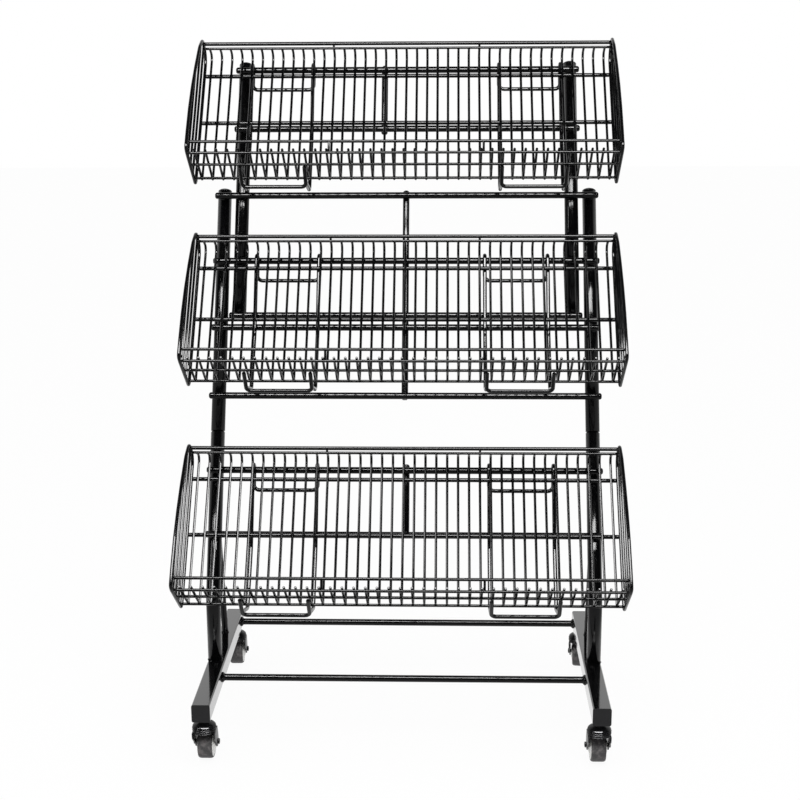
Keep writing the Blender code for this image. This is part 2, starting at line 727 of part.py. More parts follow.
def basket_wires():
    """The long bent wires, and the short links that carry the top rail and the guard."""
    made = []
    path = [RAIL_SECOND, on_floor(FLOOR_RUN), on_floor(0), on_lip(LIP_RUN)]
    first = Vector((0, path[1][0] - path[0][0], path[1][1] - path[0][1])).normalized()
    flat = Vector((1, 0, 0)).cross(first)
    if flat.y > 0:
        flat = -flat
    side = Vector((WIRE_FLAT_HALF, 0, 0))
    offsets = [
        flat * WIRE_RADIUS + side, flat * WIRE_RADIUS - side, -flat * WIRE_RIDGE]
    for i in range(WIRE_COUNT):
        x = (i - (WIRE_COUNT - 1) / 2) * WIRE_PITCH
        verts, faces = sweep([Vector((x, *uv)) for uv in path], offsets)
        top = Vector((x, *RAIL_SECOND))
        for n in range(len(offsets)):
            verts[n] = top + (verts[n] - top) * WIRE_END_SHARE
        made.append((verts, faces))
    return merged(made)


def basket_links():
    made = []
    front = on_lip(LIP_ROD_RUNS[-1], WIRE_RADIUS + LIP_ROD_RADIUS)
    for i in LINK_WIRES:
        x = (i - (WIRE_COUNT - 1) / 2) * WIRE_PITCH
        made.append(rod_between(x, RAIL_SECOND, RAIL_TOP, LINK_RADIUS, THIN_ROD_SIDES))
        aside = x + WIRE_FLAT_HALF + LINK_RADIUS
        made.append(rod_between(aside, front, GUARD, LINK_RADIUS, THIN_ROD_SIDES))
    return merged(made)


def crossing(start, direction, polyline):
    """Where a ray in the section meets a polyline."""
    start = np.array(start)
    direction = np.array(direction)
    best = None
    for a, b in zip(polyline, polyline[1:]):
        a, b = np.array(a), np.array(b)
        system = np.array([direction, a - b]).T
        if abs(np.linalg.det(system)) < LEAST_DETERMINANT:
            continue
        t, s = np.linalg.solve(system, a - start)
        if t > PANEL_RIM_RADIUS and 0 <= s <= 1 and (best is None or t < best):
            best = t
    return tuple(start + direction * best)


LEAST_DETERMINANT = 1e-9


def end_panel(name, x, holder):
    """The flat grille that closes one end of a basket."""
    under_floor = on_floor(0, PANEL_FLOOR_BELOW)
    before_lip = on_lip(0, PANEL_LIP_BELOW)
    fold = (under_floor[0] + before_lip[0], under_floor[1] + before_lip[1])
    back = on_floor(FLOOR_RUN, PANEL_FLOOR_BELOW)
    loop = [fold, back, *PANEL_EDGE]
    path = rounded([Vector((x, *uv)) for uv in loop], PANEL_CORNER, PANEL_STEPS, closed=True)
    start = (path[1] - path[0]).normalized()
    offsets = disc(start, PANEL_RIM_RADIUS, ROD_SIDES)
    obj = piece(name, *sweep(path, offsets, loop=True), BASKET_COAT, parent=holder)
    made = []
    direction = (TRAY_SIN, TRAY_COS)
    for run in PANEL_WIRE_RUNS:
        low = on_lip(run, PANEL_LIP_BELOW)
        high = crossing(low, direction, (back, *PANEL_EDGE))
        made.append(rod_between(x, low, high, PANEL_WIRE_RADIUS, THIN_ROD_SIDES))
    united(obj, local_scratch(holder, *merged(made)))
    finish(obj, BASKET_COAT)
    return obj


PANEL_CORNER = 0.0120
PANEL_STEPS = 2


# ---------------------------------------------------------------- brackets
def bracket(name, x, holder):
    """A bent-rod bracket hooked over one bar, resting on the next, with a front cradle."""
    n = Vector((0, -LEAN_COS, LEAN_SIN))
    bar_uv = Vector((0, RACK_U + LEAN_TAN * HOOK_V, HOOK_V))
    reach = BAR_RADIUS + CONTACT_GAP + BRACKET_RADIUS
    front = Vector((0, *BRACKET_FRONT))
    lip_rod = Vector((0, *on_lip(LIP_ROD_RUNS[1], WIRE_RADIUS + LIP_ROD_RADIUS)))
    toward = lip_rod - front
    clear = LIP_ROD_RADIUS + BRACKET_RADIUS + CONTACT_GAP
    swing = math.asin(clear / toward.length)
    arm = (Matrix.Rotation(swing, 3, "X") @ toward).normalized()
    kink_plane = Vector((0, RACK_U + LEAN_TAN * BRACKET_KINK_V, BRACKET_KINK_V))
    kink = kink_plane + n * reach
    bend = Vector((0, *BRACKET_BEND))
    start = front + arm * BRACKET_CORNER
    back_low = bar_uv - n * reach - UP_THE_PLANE * (BRACKET_BACK_DROP / LEAN_COS)
    side = rounded([start, bend, kink, bar_uv + n * reach], BRACKET_CORNER, BEND_STEPS)[:-1]
    outside = reach / math.cos(math.pi * HALF / HOOK_STEPS)
    for i in range(HOOK_STEPS):
        angle = math.pi * (i + HALF) / HOOK_STEPS
        side.append(
            bar_uv + n * (outside * math.cos(angle)) + UP_THE_PLANE * (outside * math.sin(angle)))
    left = [Vector((x - BRACKET_HALF, 0, 0)) + p for p in side]
    right = [Vector((x + BRACKET_HALF, 0, 0)) + p for p in side]
    corner_left = Vector((x - BRACKET_HALF, 0, 0)) + back_low
    corner_right = Vector((x + BRACKET_HALF, 0, 0)) + back_low
    turns = rounded(
        [left[-1], corner_left, corner_right, right[-1]], BRACKET_CORNER, BEND_STEPS)[1:-1]
    path = left + turns + right[::-1]
    offsets = disc(path[1] - path[0], BRACKET_RADIUS, BRACKET_SIDES)
    obj = piece(name, *sweep(path, offsets), FRAME_COAT, parent=holder)
    tip = front + arm * BRACKET_ARM
    cradle = rounded([
        Vector((x - BRACKET_HALF, 0, 0)) + tip, Vector((x - BRACKET_HALF, 0, 0)) + front,
        Vector((x + BRACKET_HALF, 0, 0)) + front, Vector((x + BRACKET_HALF, 0, 0)) + tip,
    ], BRACKET_CORNER, BEND_STEPS)
    offsets = disc(cradle[1] - cradle[0], BRACKET_RADIUS, BRACKET_SIDES, HALF)
    united(obj, local_scratch(holder, *sweep(cradle, offsets)))
    finish(obj, FRAME_COAT)
    return obj


BEND_STEPS = 2
HOOK_STEPS = 4

# ---------------------------------------------------------------- baskets in place
for name, z in BASKETS:
    holder = bpy.data.objects.new(f"basket_{name}_place", None)
    bpy.context.collection.objects.link(holder)
    holder.parent = ROOT
    holder.location = (0, plane_y(z) - RACK_U, z)
    mesh = piece(f"basket_{name}_mesh", *basket_rods(), BASKET_COAT, parent=holder)
    united(mesh, local_scratch(holder, *basket_wires()))
    united(mesh, local_scratch(holder, *basket_links()))
    finish(mesh, BASKET_COAT)
    end_panel(f"basket_{name}_end_left", -PANEL_X, holder)
    end_panel(f"basket_{name}_end_right", PANEL_X, holder)
    for side, x in zip(("left", "right"), BRACKET_XS[name]):
        bracket(f"bracket_{name}_{side}", x, holder)

# ---------------------------------------------------------------- origin under the middle
bpy.context.view_layer.update()
lows = np.full(3, np.inf)
highs = np.full(3, -np.inf)
for obj in bpy.data.objects:
    if obj.type != "MESH":
        continue
    coords = np.array([obj.matrix_world @ v.co for v in obj.data.vertices])
    lows = np.minimum(lows, coords.min(axis=0))
    highs = np.maximum(highs, coords.max(axis=0))
middle = (lows + highs) / 2
ROOT.location = (-middle[0], -middle[1], -lows[2])
bpy.context.view_layer.update()
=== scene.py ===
# %% [markdown]
# # A leaning produce display rack
# The real rack is black powder-coated steel: a tube frame on four castors leans back and
# carries three wire baskets on bent-rod brackets. The packed model gives every place in
# metres, so this lesson only has to give each piece its true round form and its finish.

import math

import bmesh
import bpy
from mathutils import Matrix, Vector


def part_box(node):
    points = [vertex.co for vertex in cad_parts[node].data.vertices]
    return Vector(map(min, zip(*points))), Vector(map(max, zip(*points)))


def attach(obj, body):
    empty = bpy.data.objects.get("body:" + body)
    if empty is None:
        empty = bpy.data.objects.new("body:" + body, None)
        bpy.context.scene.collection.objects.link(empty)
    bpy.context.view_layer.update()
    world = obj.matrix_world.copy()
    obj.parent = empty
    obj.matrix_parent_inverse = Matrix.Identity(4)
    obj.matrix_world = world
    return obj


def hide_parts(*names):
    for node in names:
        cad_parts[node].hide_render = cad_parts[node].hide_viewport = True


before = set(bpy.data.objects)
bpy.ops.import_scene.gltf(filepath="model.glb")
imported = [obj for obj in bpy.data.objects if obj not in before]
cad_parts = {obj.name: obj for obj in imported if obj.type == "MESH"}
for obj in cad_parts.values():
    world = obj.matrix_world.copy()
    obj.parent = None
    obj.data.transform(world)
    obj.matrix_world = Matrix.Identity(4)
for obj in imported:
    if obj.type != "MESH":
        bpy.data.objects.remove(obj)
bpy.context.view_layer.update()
print("nodes in the frame:", len(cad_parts))

# %% [markdown]
# The camera stands where the photograph was taken: a little above the rack, looking down
# and slightly to the left, with a roll that is hardly visible. The place and the angles
# were solved from the bars, so they are written as numbers and turned into a matrix.

# %% Camera at the photograph's angle
CAMERA_PLACE = Vector((0.0984, -3.4406, 1.6096))
CAMERA_DOWN = 0.2462
CAMERA_LEFT = 0.0316
CAMERA_ROLL = -0.0053
CAMERA_LENS_MM = 67.5
SENSOR_MM = 36.0

scene = bpy.context.scene
level = Vector((math.cos(CAMERA_LEFT), math.sin(CAMERA_LEFT), 0))
ahead = Vector((-math.sin(CAMERA_LEFT), math.cos(CAMERA_LEFT), 0))
forward = ahead * math.cos(CAMERA_DOWN) - Vector((0, 0, math.sin(CAMERA_DOWN)))
upward = ahead * math.sin(CAMERA_DOWN) + Vector((0, 0, math.cos(CAMERA_DOWN)))
right = level * math.cos(CAMERA_ROLL) + upward * math.sin(CAMERA_ROLL)
top = upward * math.cos(CAMERA_ROLL) - level * math.sin(CAMERA_ROLL)
camera_data = bpy.data.cameras.new("camera")
camera_data.lens = CAMERA_LENS_MM
camera_data.sensor_width = SENSOR_MM
camera = bpy.data.objects.new("camera", camera_data)
turned = Matrix((right, top, -forward)).transposed()
camera.matrix_world = Matrix.Translation(CAMERA_PLACE) @ turned.to_4x4()
scene.collection.objects.link(camera)
scene.camera = camera
print("camera at", tuple(round(c, 3) for c in camera.location))

# %% [markdown]
# Every material here is arithmetic on sockets. A small class wraps a socket, so that
# `1 - mask * 0.3` adds the Math nodes by itself and the recipes below stay readable.

# %% A socket that can be calculated with
class Wire:
    """One output socket with Python's operators on it."""

    def __init__(self, recipe, socket):
        self.recipe = recipe
        self.socket = socket

    def _math(self, operation, first, second):
        return self.recipe.node(
            "ShaderNodeMath", {"operation": operation}, {0: first, 1: second})

    def __add__(self, other):
        return self._math("ADD", self, other)

    __radd__ = __add__

    def __rsub__(self, other):
        return self._math("SUBTRACT", other, self)

    def __mul__(self, other):
        return self._math("MULTIPLY", self, other)

    def __or__(self, other):
        return self._math("MAXIMUM", self, other)

    def above(self, low, high):
        """0 below low, 1 above high, smooth between."""
        return self.recipe.node(
            "ShaderNodeMapRange", {"interpolation_type": "SMOOTHSTEP"},
            {"Value": self, "From Min": low, "From Max": high})


operators = [name for name in vars(Wire) if name.strip("_") in ("add", "rsub", "mul", "or")]
print("operators:", ", ".join(operators))

# %% [markdown]
# A recipe is a node tree with one method that adds any node from its type, its settings
# and the values or links of its sockets. Materials and the world share it.

# %% One method for every node
class Recipe:
    """A node tree that is filled by expressions."""

    def __init__(self, tree):
        self.tree = tree

    def node(self, kind, settings=None, values=None, output=0):
        """A new node as the Wire of one of its outputs."""
        made = self.tree.nodes.new(kind)
        for key, value in (settings or {}).items():
            setattr(made, key, value)
        for key, value in (values or {}).items():
            if isinstance(value, Wire):
                self.tree.links.new(value.socket, made.inputs[key])
            else:
                made.inputs[key].default_value = value
        return Wire(self, made.outputs[output])

    def surface(self, shader):
        """The shader that the tree shows."""
        end = next(n for n in self.tree.nodes if n.type.startswith("OUTPUT"))
        self.tree.links.new(shader.socket, end.inputs["Surface"])

    def mix(self, factor, low, high):
        """A colour between two."""
        return self.node(
            "ShaderNodeMix", {"data_type": "RGBA"}, {0: factor, 6: low, 7: high}, output=2)

    def mix_shader(self, factor, low, high):
        """A shader between two."""
        return self.node("ShaderNodeMixShader", None, {0: factor, 1: low, 2: high})


print("one method for every node:", Recipe.node.__name__)

# %% [markdown]
# A paint is the recipe of one material. Its noise stays fixed to the object, so that a
# pattern travels with a piece that moves.

# %% Paint with a Principled shader
class Paint(Recipe):
    """A material with its Principled shader."""

    def __init__(self, name, **even):
        self.material = bpy.data.materials.new(name)
        self.material.use_nodes = True
        super().__init__(self.material.node_tree)
        self.shader = self.tree.nodes["Principled BSDF"]
        self.feed(**even)

    def feed(self, **inputs):
        """Values or links into the shader's own sockets."""
        for key, value in inputs.items():
            socket = self.shader.inputs[key.replace("_", " ")]
            if isinstance(value, Wire):
                self.tree.links.new(value.socket, socket)
            else:
                socket.default_value = value

    def noise(self, scale, detail=2.0, rough=0.5, stretch=None):
        """Cloudy values fixed to the object, drawn out along an axis on request."""
        spot = self.node("ShaderNodeTexCoord", output="Object")
        if stretch:
            spot = self.node("ShaderNodeMapping", None, {"Vector": spot, "Scale": stretch})
        return self.node(
            "ShaderNodeTexNoise", None,
            {"Vector": spot, "Scale": scale, "Detail": detail, "Roughness": rough})

    def bump(self, height, strength, distance):
        return self.node(
            "ShaderNodeBump", None,
            {"Height": height, "Strength": strength, "Distance": distance})


print("a paint adds to a recipe:", ", ".join(n for n in vars(Paint) if n[0] != "_"))

# %% [markdown]
# Powder coat is a thick, glossy skin. Close up it has a faint orange peel, dust specks
# and a thin haze that dulls it in soft patches, and rub marks where pieces slide on it.
# The frame, the basket wire, the brackets and the legs share the recipe with different
# amounts, and the legs have a clear glaze on top, whose sides mirror the floor.

# %% Powder coat
BLACK = (0.0026, 0.0026, 0.0030, 1)
HAZED = (0.0095, 0.0093, 0.0090, 1)
RUBBED = (0.0600, 0.0590, 0.0570, 1)
COAT_IOR = 1.52
PEEL_HEIGHT = 0.0005


def powder_coat(name, gloss, peel_scale, rub, shine, peel_depth=0.10, glaze=0.0):
    """Black coat: gloss is its roughness, shine its mirror and glaze a clear layer."""
    coat = Paint(name, IOR=COAT_IOR, Specular_IOR_Level=shine, Coat_Weight=glaze)
    haze = coat.noise(scale=9.0, detail=4.0, rough=0.6).above(0.45, 0.78)
    speck = coat.noise(scale=820.0, detail=1.0).above(0.70, 0.78)
    drawn = coat.noise(scale=60.0, detail=3.0, rough=0.6, stretch=(1.0, 1.0, 0.12))
    streak = drawn.above(0.64, 0.82)
    color = coat.mix(haze * 0.5, BLACK, HAZED)
    color = coat.mix((streak * rub) | (speck * 0.25), color, RUBBED)
    rough = gloss + haze * 0.06 + streak * 0.10 + speck * 0.12
    peel = coat.bump(coat.noise(scale=peel_scale), strength=peel_depth, distance=PEEL_HEIGHT)
    coat.feed(Base_Color=color, Roughness=rough, Normal=peel)
    return coat.material


FRAME_COAT = powder_coat(
    "frame_powder_coat", gloss=0.11, peel_scale=260.0, rub=0.14, shine=0.13)
WIRE_COAT = powder_coat(
    "wire_powder_coat", gloss=0.11, peel_scale=380.0, rub=0.05, shine=0.12, peel_depth=0.04)
BRACKET_COAT = powder_coat(
    "bracket_powder_coat", gloss=0.10, peel_scale=340.0, rub=0.20, shine=0.18)
LEG_COAT = powder_coat(
    "leg_powder_coat", gloss=0.09, peel_scale=300.0, rub=0.10, shine=0.32, peel_depth=0.06,
    glaze=0.75)
print("powder coats:", FRAME_COAT.name, WIRE_COAT.name, BRACKET_COAT.name, LEG_COAT.name)

# %% [markdown]
# The castors are pressed steel with a black plating that is cloudy and a little worn.
# The races are the glossiest, and the forks are more satin from handling.

# %% Castor steel
PLATED = (0.010, 0.010, 0.011, 1)
BARE = (0.200, 0.198, 0.195, 1)


def plated_steel(name, gloss, wear):
    """Black plating with scratches and chips that show the bare steel."""
    steel = Paint(name, Metallic=0.25, Specular_IOR_Level=0.18)
    cloud = steel.noise(scale=46.0, detail=4.0, rough=0.6)
    scratch = steel.noise(scale=170.0, stretch=(1.0, 1.0, 0.08)).above(0.66, 0.76)
    chip = steel.noise(scale=420.0, detail=3.0, rough=0.6).above(0.70, 0.76)
    color = steel.mix((scratch * wear) | (chip * wear), PLATED, BARE)
    steel.feed(Base_Color=color, Roughness=gloss + cloud * 0.14 + scratch * 0.12)
    steel.feed(Normal=steel.bump(steel.noise(scale=520.0), strength=0.10, distance=0.0004))
    return steel.material


RACE_STEEL = plated_steel("race_plated_steel", gloss=0.08, wear=0.10)
FORK_STEEL = plated_steel("fork_plated_steel", gloss=0.22, wear=0.22)
BOLT_STEEL = plated_steel("bolt_plated_steel", gloss=0.16, wear=0.45)
print("castor steel:", RACE_STEEL.name, FORK_STEEL.name, BOLT_STEEL.name)

# %% [markdown]
# The wheel is a pale moulded core with a dark rubber tread. In the photograph its sides
# are as bright as the background. The tread has picked up dust from the floor, so the
# rubber turns towards a warm grey in patches.

# %% Rubber and plastic
RUBBER = (0.018, 0.017, 0.018, 1)
DUSTED = (0.170, 0.152, 0.152, 1)
MOULDED = (0.011, 0.011, 0.012, 1)
PALE = (0.640, 0.635, 0.615, 1)
GRIMY = (0.330, 0.320, 0.300, 1)


def wheel_rubber():
    """Dark rubber with dust in patches and fine pits."""
    rubber = Paint("tyre_rubber")
    patch = rubber.noise(scale=52.0, detail=4.0, rough=0.65)
    dust = patch.above(0.46, 0.70)
    pit = rubber.noise(scale=900.0, detail=3.0, rough=0.6)
    color = rubber.mix(dust * 0.60 + pit * 0.08, RUBBER, DUSTED)
    rubber.feed(Base_Color=color, Roughness=0.52 + dust * 0.26)
    rubber.feed(Normal=rubber.bump(pit + patch * 0.5, strength=0.30, distance=0.0005))
    return rubber.material


def moulded_plastic(name, gloss, grain, clean, marked, shine):
    """Plastic with a fine moulded grain and marks in clouds."""
    plastic = Paint(name, Specular_IOR_Level=shine)
    cloud = plastic.noise(scale=120.0, detail=3.0, rough=0.6)
    color = plastic.mix(cloud.above(0.5, 0.8) * 0.5, clean, marked)
    plastic.feed(Base_Color=color, Roughness=gloss + cloud * 0.10)
    plastic.feed(
        Normal=plastic.bump(plastic.noise(scale=1400.0), strength=grain, distance=0.0003))
    return plastic.material


TYRE = wheel_rubber()
CORE = moulded_plastic(
    "wheel_core_plastic", gloss=0.22, grain=0.05, clean=PALE, marked=GRIMY, shine=0.50)
CAP = moulded_plastic(
    "cap_satin_plastic", gloss=0.30, grain=0.12, clean=MOULDED, marked=HAZED, shine=0.18)
print("rubber and plastic:", TYRE.name, CORE.name, CAP.name)

# %% [markdown]
# Nearly the whole rack is rod and tube, so the main tool is a bender that works like
# the machine in the factory. It starts from a circle, feeds it forward in a straight
# line with an extrude, and turns it round a corner with a spin.

# %% Steps of the rod bender
# Each ring of a rounded end: how far on it lies, in radii, and its width against the last.
END_RINGS = ((0.34, 0.94), (0.30, 0.68))
END_LENGTH = 0.64


def once_each(edges):
    """The edges without repeats, always in the same order."""
    return list(dict.fromkeys(edges))


def ring_edges(verts):
    """The edges that join neighbouring verts of one ring."""
    chosen = set(verts)
    linked = once_each(e for v in verts for e in v.link_edges)
    return [e for e in linked if set(e.verts) <= chosen]


def start_ring(bm, center, direction, radius, sides):
    """An open circle of verts that faces along a direction."""
    turn = direction.to_track_quat("Z", "X").to_matrix().to_4x4()
    made = bmesh.ops.create_circle(
        bm, cap_ends=False, segments=sides, radius=radius,
        matrix=Matrix.Translation(center) @ turn)
    return made["verts"]


def feed(bm, ring, move, scale=1.0, center=None):
    """The ring extruded by a straight move, and scaled about its new centre."""
    made = bmesh.ops.extrude_edge_only(bm, edges=ring_edges(ring))
    verts = [g for g in made["geom"] if isinstance(g, bmesh.types.BMVert)]
    bmesh.ops.translate(bm, verts=verts, vec=move)
    if scale != 1.0:
        space = Matrix.Translation(-center)
        bmesh.ops.scale(bm, verts=verts, vec=(scale, scale, scale), space=space)
    return verts


def turn_ring(bm, ring, center, axis, angle, steps):
    """The ring spun about a bend's centre."""
    made = bmesh.ops.spin(
        bm, geom=ring_edges(ring), cent=center, axis=axis, angle=angle, steps=steps)
    return [g for g in made["geom_last"] if isinstance(g, bmesh.types.BMVert)]


def close_end(bm, ring, center, outward, radius):
    """A softly rounded end."""
    for advance, size in END_RINGS:
        step = outward * (radius * advance)
        center = center + step
        ring = feed(bm, ring, step, size, center)
    bmesh.ops.contextual_create(bm, geom=ring_edges(ring))


print("an end takes", END_LENGTH, "radii")

# %% [markdown]
# A rod's path is given by its corners alone, and the bend radius does the rest. A loop
# starts and ends in the middle of its first side, where the two rings are merged.

# %% The rod bender
STRAIGHT = 0.002
BEND_SHARE = 0.48
LOOP_GAP = 0.0002


def rod(bm, corners, radius, sides, bend=0.0, steps=1, ends=True, loop=False):
    """A round rod through the corners, with a spun bend at each one.

    The bend is one radius, or a list with a radius for every corner. A quarter turn has
    the given number of steps, and a bend takes less than half of the side beside it."""
    corners = [Vector(c) for c in corners]
    bends = list(bend) if isinstance(bend, (list, tuple)) else [bend] * len(corners)
    if loop:
        middle = (corners[0] + corners[1]) / 2
        corners = [middle, *corners[1:], corners[0], middle]
        bends = [0, *bends[1:], bends[0], 0]
    dome = radius * END_LENGTH if ends and not loop else 0.0
    way = first_way = (corners[1] - corners[0]).normalized()
    at = start = corners[0] + way * dome
    first = ring = start_ring(bm, at, way, radius, sides)
    for i in range(1, len(corners) - 1):
        here = corners[i]
        away = (corners[i + 1] - here).normalized()
        angle = way.angle(away)
        if angle < STRAIGHT:
            continue
        room = min((here - corners[i - 1]).length, (corners[i + 1] - here).length)
        reach = min(bends[i] * math.tan(angle / 2), room * BEND_SHARE)
        stop = here - way * reach
        ring = feed(bm, ring, stop - at)
        inward = (away - way * away.dot(way)).normalized()
        size = reach / math.tan(angle / 2)
        count = max(1, round(steps * angle / (math.pi / 2)))
        axis = way.cross(away).normalized()
        ring = turn_ring(bm, ring, stop + inward * size, axis, angle, count)
        at = here + away * reach
        way = away
    last = corners[-1] - way * dome
    ring = feed(bm, ring, last - at)
    if loop:
        bmesh.ops.remove_doubles(bm, verts=first + ring, dist=LOOP_GAP)
    elif ends:
        close_end(bm, first, start, -first_way, radius)
        close_end(bm, ring, last, way, radius)


print("a bend takes up to", BEND_SHARE, "of a side")

# %% [markdown]
# Every mesh becomes an object in the same way: it rides on a body and stands for its
# nodes. Weighted normals keep the large faces of a square tube evenly shaded beside its
# rolled corners, so that they mirror the room without a warp.

# %% Pieces
SMOOTH_ANGLE = 40.0
CRISP_ANGLE = 30.0


def piece(name, bm, material, body, *nodes, slot, angle=SMOOTH_ANGLE, flat=False):
    """The bmesh as an object that rides on a body and stands for its CAD nodes."""
    bmesh.ops.recalc_face_normals(bm, faces=bm.faces)
    mesh = bpy.data.meshes.new(name)
    bm.to_mesh(mesh)
    bm.free()
    mesh.materials.append(material)
    mesh.shade_smooth()
    mesh.set_sharp_from_angle(angle=math.radians(angle))
    obj = bpy.data.objects.new(name, mesh)
    if flat:
        obj.modifiers.new("flat_sides", "WEIGHTED_NORMAL").keep_sharp = True
    scene.collection.objects.link(obj)
    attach(obj, body)
    if nodes:
        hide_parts(*nodes)
    return obj


def soften(bm, edges, offset, segments):
    """Rounded edges."""
    bmesh.ops.bevel(bm, geom=edges, offset=offset, segments=segments, profile=0.5,
                    affect="EDGES", material=-1)


print("edges stay smooth up to", SMOOTH_ANGLE, "or", CRISP_ANGLE, "degrees")

# %% [markdown]
# The frame leans back at one angle, so a height gives every other place. Bars lie in
# one sloping plane and the tubes lie behind them. Y is counted from the front ends of
# the legs, and one shift brings it to the frame's own origin.

# %% The leaning plane
LEAN = math.radians(24.4)
SHIFT_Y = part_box("leg_left")[0][1]
PLANE_Y = 0.3574
PLANE_Z = 0.6000
CONTACT = 0.0003
TUBE_R = 0.0167
BAR_R = 0.0080
POST_BACK = TUBE_R + BAR_R + CONTACT
BODY = "rack"


def lean_y(z, back=0.0):
    """Y of the bars' plane at a height, or of a line a square distance behind it."""
    return SHIFT_Y + PLANE_Y + math.tan(LEAN) * (z - PLANE_Z) + back / math.cos(LEAN)


def on_post(x, z, back=POST_BACK):
    """A point of a tube's own axis, or of a line at another distance behind the bars."""
    return Vector((x, lean_y(z, back), z))


UP_PLANE = Vector((0, math.sin(LEAN), math.cos(LEAN)))
OUT_PLANE = Vector((0, -math.cos(LEAN), math.sin(LEAN)))
print("frame leans", round(math.degrees(LEAN), 1), "degrees")

# %% [markdown]
# ## Tubes
# The posts are tubes, so they are bent as open rods and a Solidify modifier gives them
# a wall. The lower half ends in a narrower spigot, over which the main upright slips.

# %% Posts and uprights
POST_X = 0.4468
UPPER_X = 0.4033
LEG_TOP = 0.1485
BEND_Z = 0.3010
JOINT_Z = 0.6620
MAIN_TOP = 1.2080
UPPER_LOW = 0.9130
UPPER_TOP = 1.5075
POST_BEND = 0.0550
SPIGOT_DOWN = 0.0040
SPIGOT_UP = 0.0600
UPRIGHT_GAP = 0.0033
WALL = 0.0020
TUBE_SIDES = 28
TUBE_STEPS = 8
SIDES = (("left", -1), ("right", 1))


def tube(name, corners, node, spigot=None):
    """An open tube through the corners, with a narrower straight one on request."""
    bm = bmesh.new()
    rod(bm, corners, TUBE_R, TUBE_SIDES, POST_BEND, TUBE_STEPS, ends=False)
    if spigot:
        rod(bm, spigot, TUBE_R - WALL - CONTACT, TUBE_SIDES, ends=False)
    obj = piece(name, bm, FRAME_COAT, BODY, node, slot="frame_coat")
    wall = obj.modifiers.new("wall", "SOLIDIFY")
    wall.thickness = WALL
    wall.offset = -1.0


for side, sign in SIDES:
    x = sign * POST_X
    foot = Vector((x, lean_y(BEND_Z, POST_BACK), LEG_TOP + CONTACT))
    joint = on_post(x, JOINT_Z)
    tube(f"base_post_{side}_tube", (foot, on_post(x, BEND_Z), joint), f"base_post_{side}",
         (joint - UP_PLANE * SPIGOT_DOWN, joint + UP_PLANE * SPIGOT_UP))
    low = joint + UP_PLANE * UPRIGHT_GAP
    tube(f"main_upright_{side}_tube", (low, on_post(x, MAIN_TOP)), f"main_upright_{side}")
    x = sign * UPPER_X
    tube(f"upper_upright_{side}_tube", (on_post(x, UPPER_LOW), on_post(x, UPPER_TOP)),
         f"upper_upright_{side}")
print("tubes:", 3 * len(SIDES))

# %% [markdown]
# A domed plug closes each tube. Its profile is drawn as a few points and spun about the
# tube's own axis, which leans with the frame.

# %% Turned pieces and caps
POLE_GAP = 0.00002
CAP_SIDES = 32
CAP_PROFILE = (
    (0, 0.0068), (0.0040, 0.0066), (0.0085, 0.0058), (0.0125, 0.0043), (0.0152, 0.0026),
    (0.0164, 0.0014), (0.0167, 0.0006), (0.0167, 0.0001), (0.0144, 0), (0.0143, -0.013),
    (0, -0.0135))


def turned_piece(bm, profile, base, axis, sides):
    """A profile of (radius, height) points spun about an axis, poles closed."""
    axis = axis.normalized()
    across = axis.orthogonal().normalized()
    verts = [bm.verts.new(base + axis * h + across * r) for r, h in profile]
    edges = [bm.edges.new(pair) for pair in zip(verts, verts[1:])]
    bmesh.ops.spin(
        bm, geom=verts + edges, cent=base, axis=axis, angle=math.tau, steps=sides,
        use_merge=True)
    bmesh.ops.remove_doubles(bm, verts=bm.verts, dist=POLE_GAP)


for name, x, z in (("main", POST_X, MAIN_TOP), ("upper", UPPER_X, UPPER_TOP)):
    for side, sign in SIDES:
        bm = bmesh.new()
        base = on_post(sign * x, z) + UP_PLANE * CONTACT
        turned_piece(bm, CAP_PROFILE, base, UP_PLANE, CAP_SIDES)
        piece(f"{name}_cap_{side}_dome", bm, CAP, BODY, f"{name}_cap_{side}",
              slot="cap_plastic")
print("domed caps:", 2 * len(SIDES))

# %% [markdown]
# ## Bars
# The crossbars are round bar with softly rounded ends that stand just past the tubes.
# The thin centre bars lie behind them.

# %% Crossbars and centre bars
LOW_BARS = (1.2021, 1.0518, 0.9014, 0.7495, 0.5866, 0.4477)
HIGH_BARS = (1.4970, 1.3577, 0.9283)
LOW_HALF = 0.46675
HIGH_HALF = 0.4242
BAR_SIDES = 18
CENTRE_BACK = BAR_R + BAR_R + CONTACT
CENTRE_BARS = (
    ("centre_bar_main", 0.0000, LOW_BARS[3] - 0.0130, LOW_BARS[0] + 0.0080),
    ("centre_bar_base", 0.0050, LOW_BARS[5] - 0.0110, LOW_BARS[4] + 0.0080),
    ("centre_bar_upper", -0.0550, HIGH_BARS[1] - 0.0145, HIGH_BARS[0] + 0.0080))


def bar(name, start, end, node):
    """A straight round bar of the frame."""
    bm = bmesh.new()
    rod(bm, (start, end), BAR_R, BAR_SIDES)
    piece(name, bm, FRAME_COAT, BODY, node, slot="frame_coat")


for prefix, heights, half in (
        ("crossbar", LOW_BARS, LOW_HALF), ("upper_crossbar", HIGH_BARS, HIGH_HALF)):
    for number, z in enumerate(heights, 1):
        bar(f"{prefix}_{number}_bar", Vector((-half, lean_y(z), z)),
            Vector((half, lean_y(z), z)), f"{prefix}_{number}")
for name, x, low, high in CENTRE_BARS:
    bar(f"{name}_rod", on_post(x, low, CENTRE_BACK), on_post(x, high, CENTRE_BACK), name)
print("bars:", len(LOW_BARS) + len(HIGH_BARS) + len(CENTRE_BARS))

# %% [markdown]
# The two rear braces are cut to fit. The verts at each end slide along the brace until
# the foot lies flat on the leg and the head flat against the back of the post.

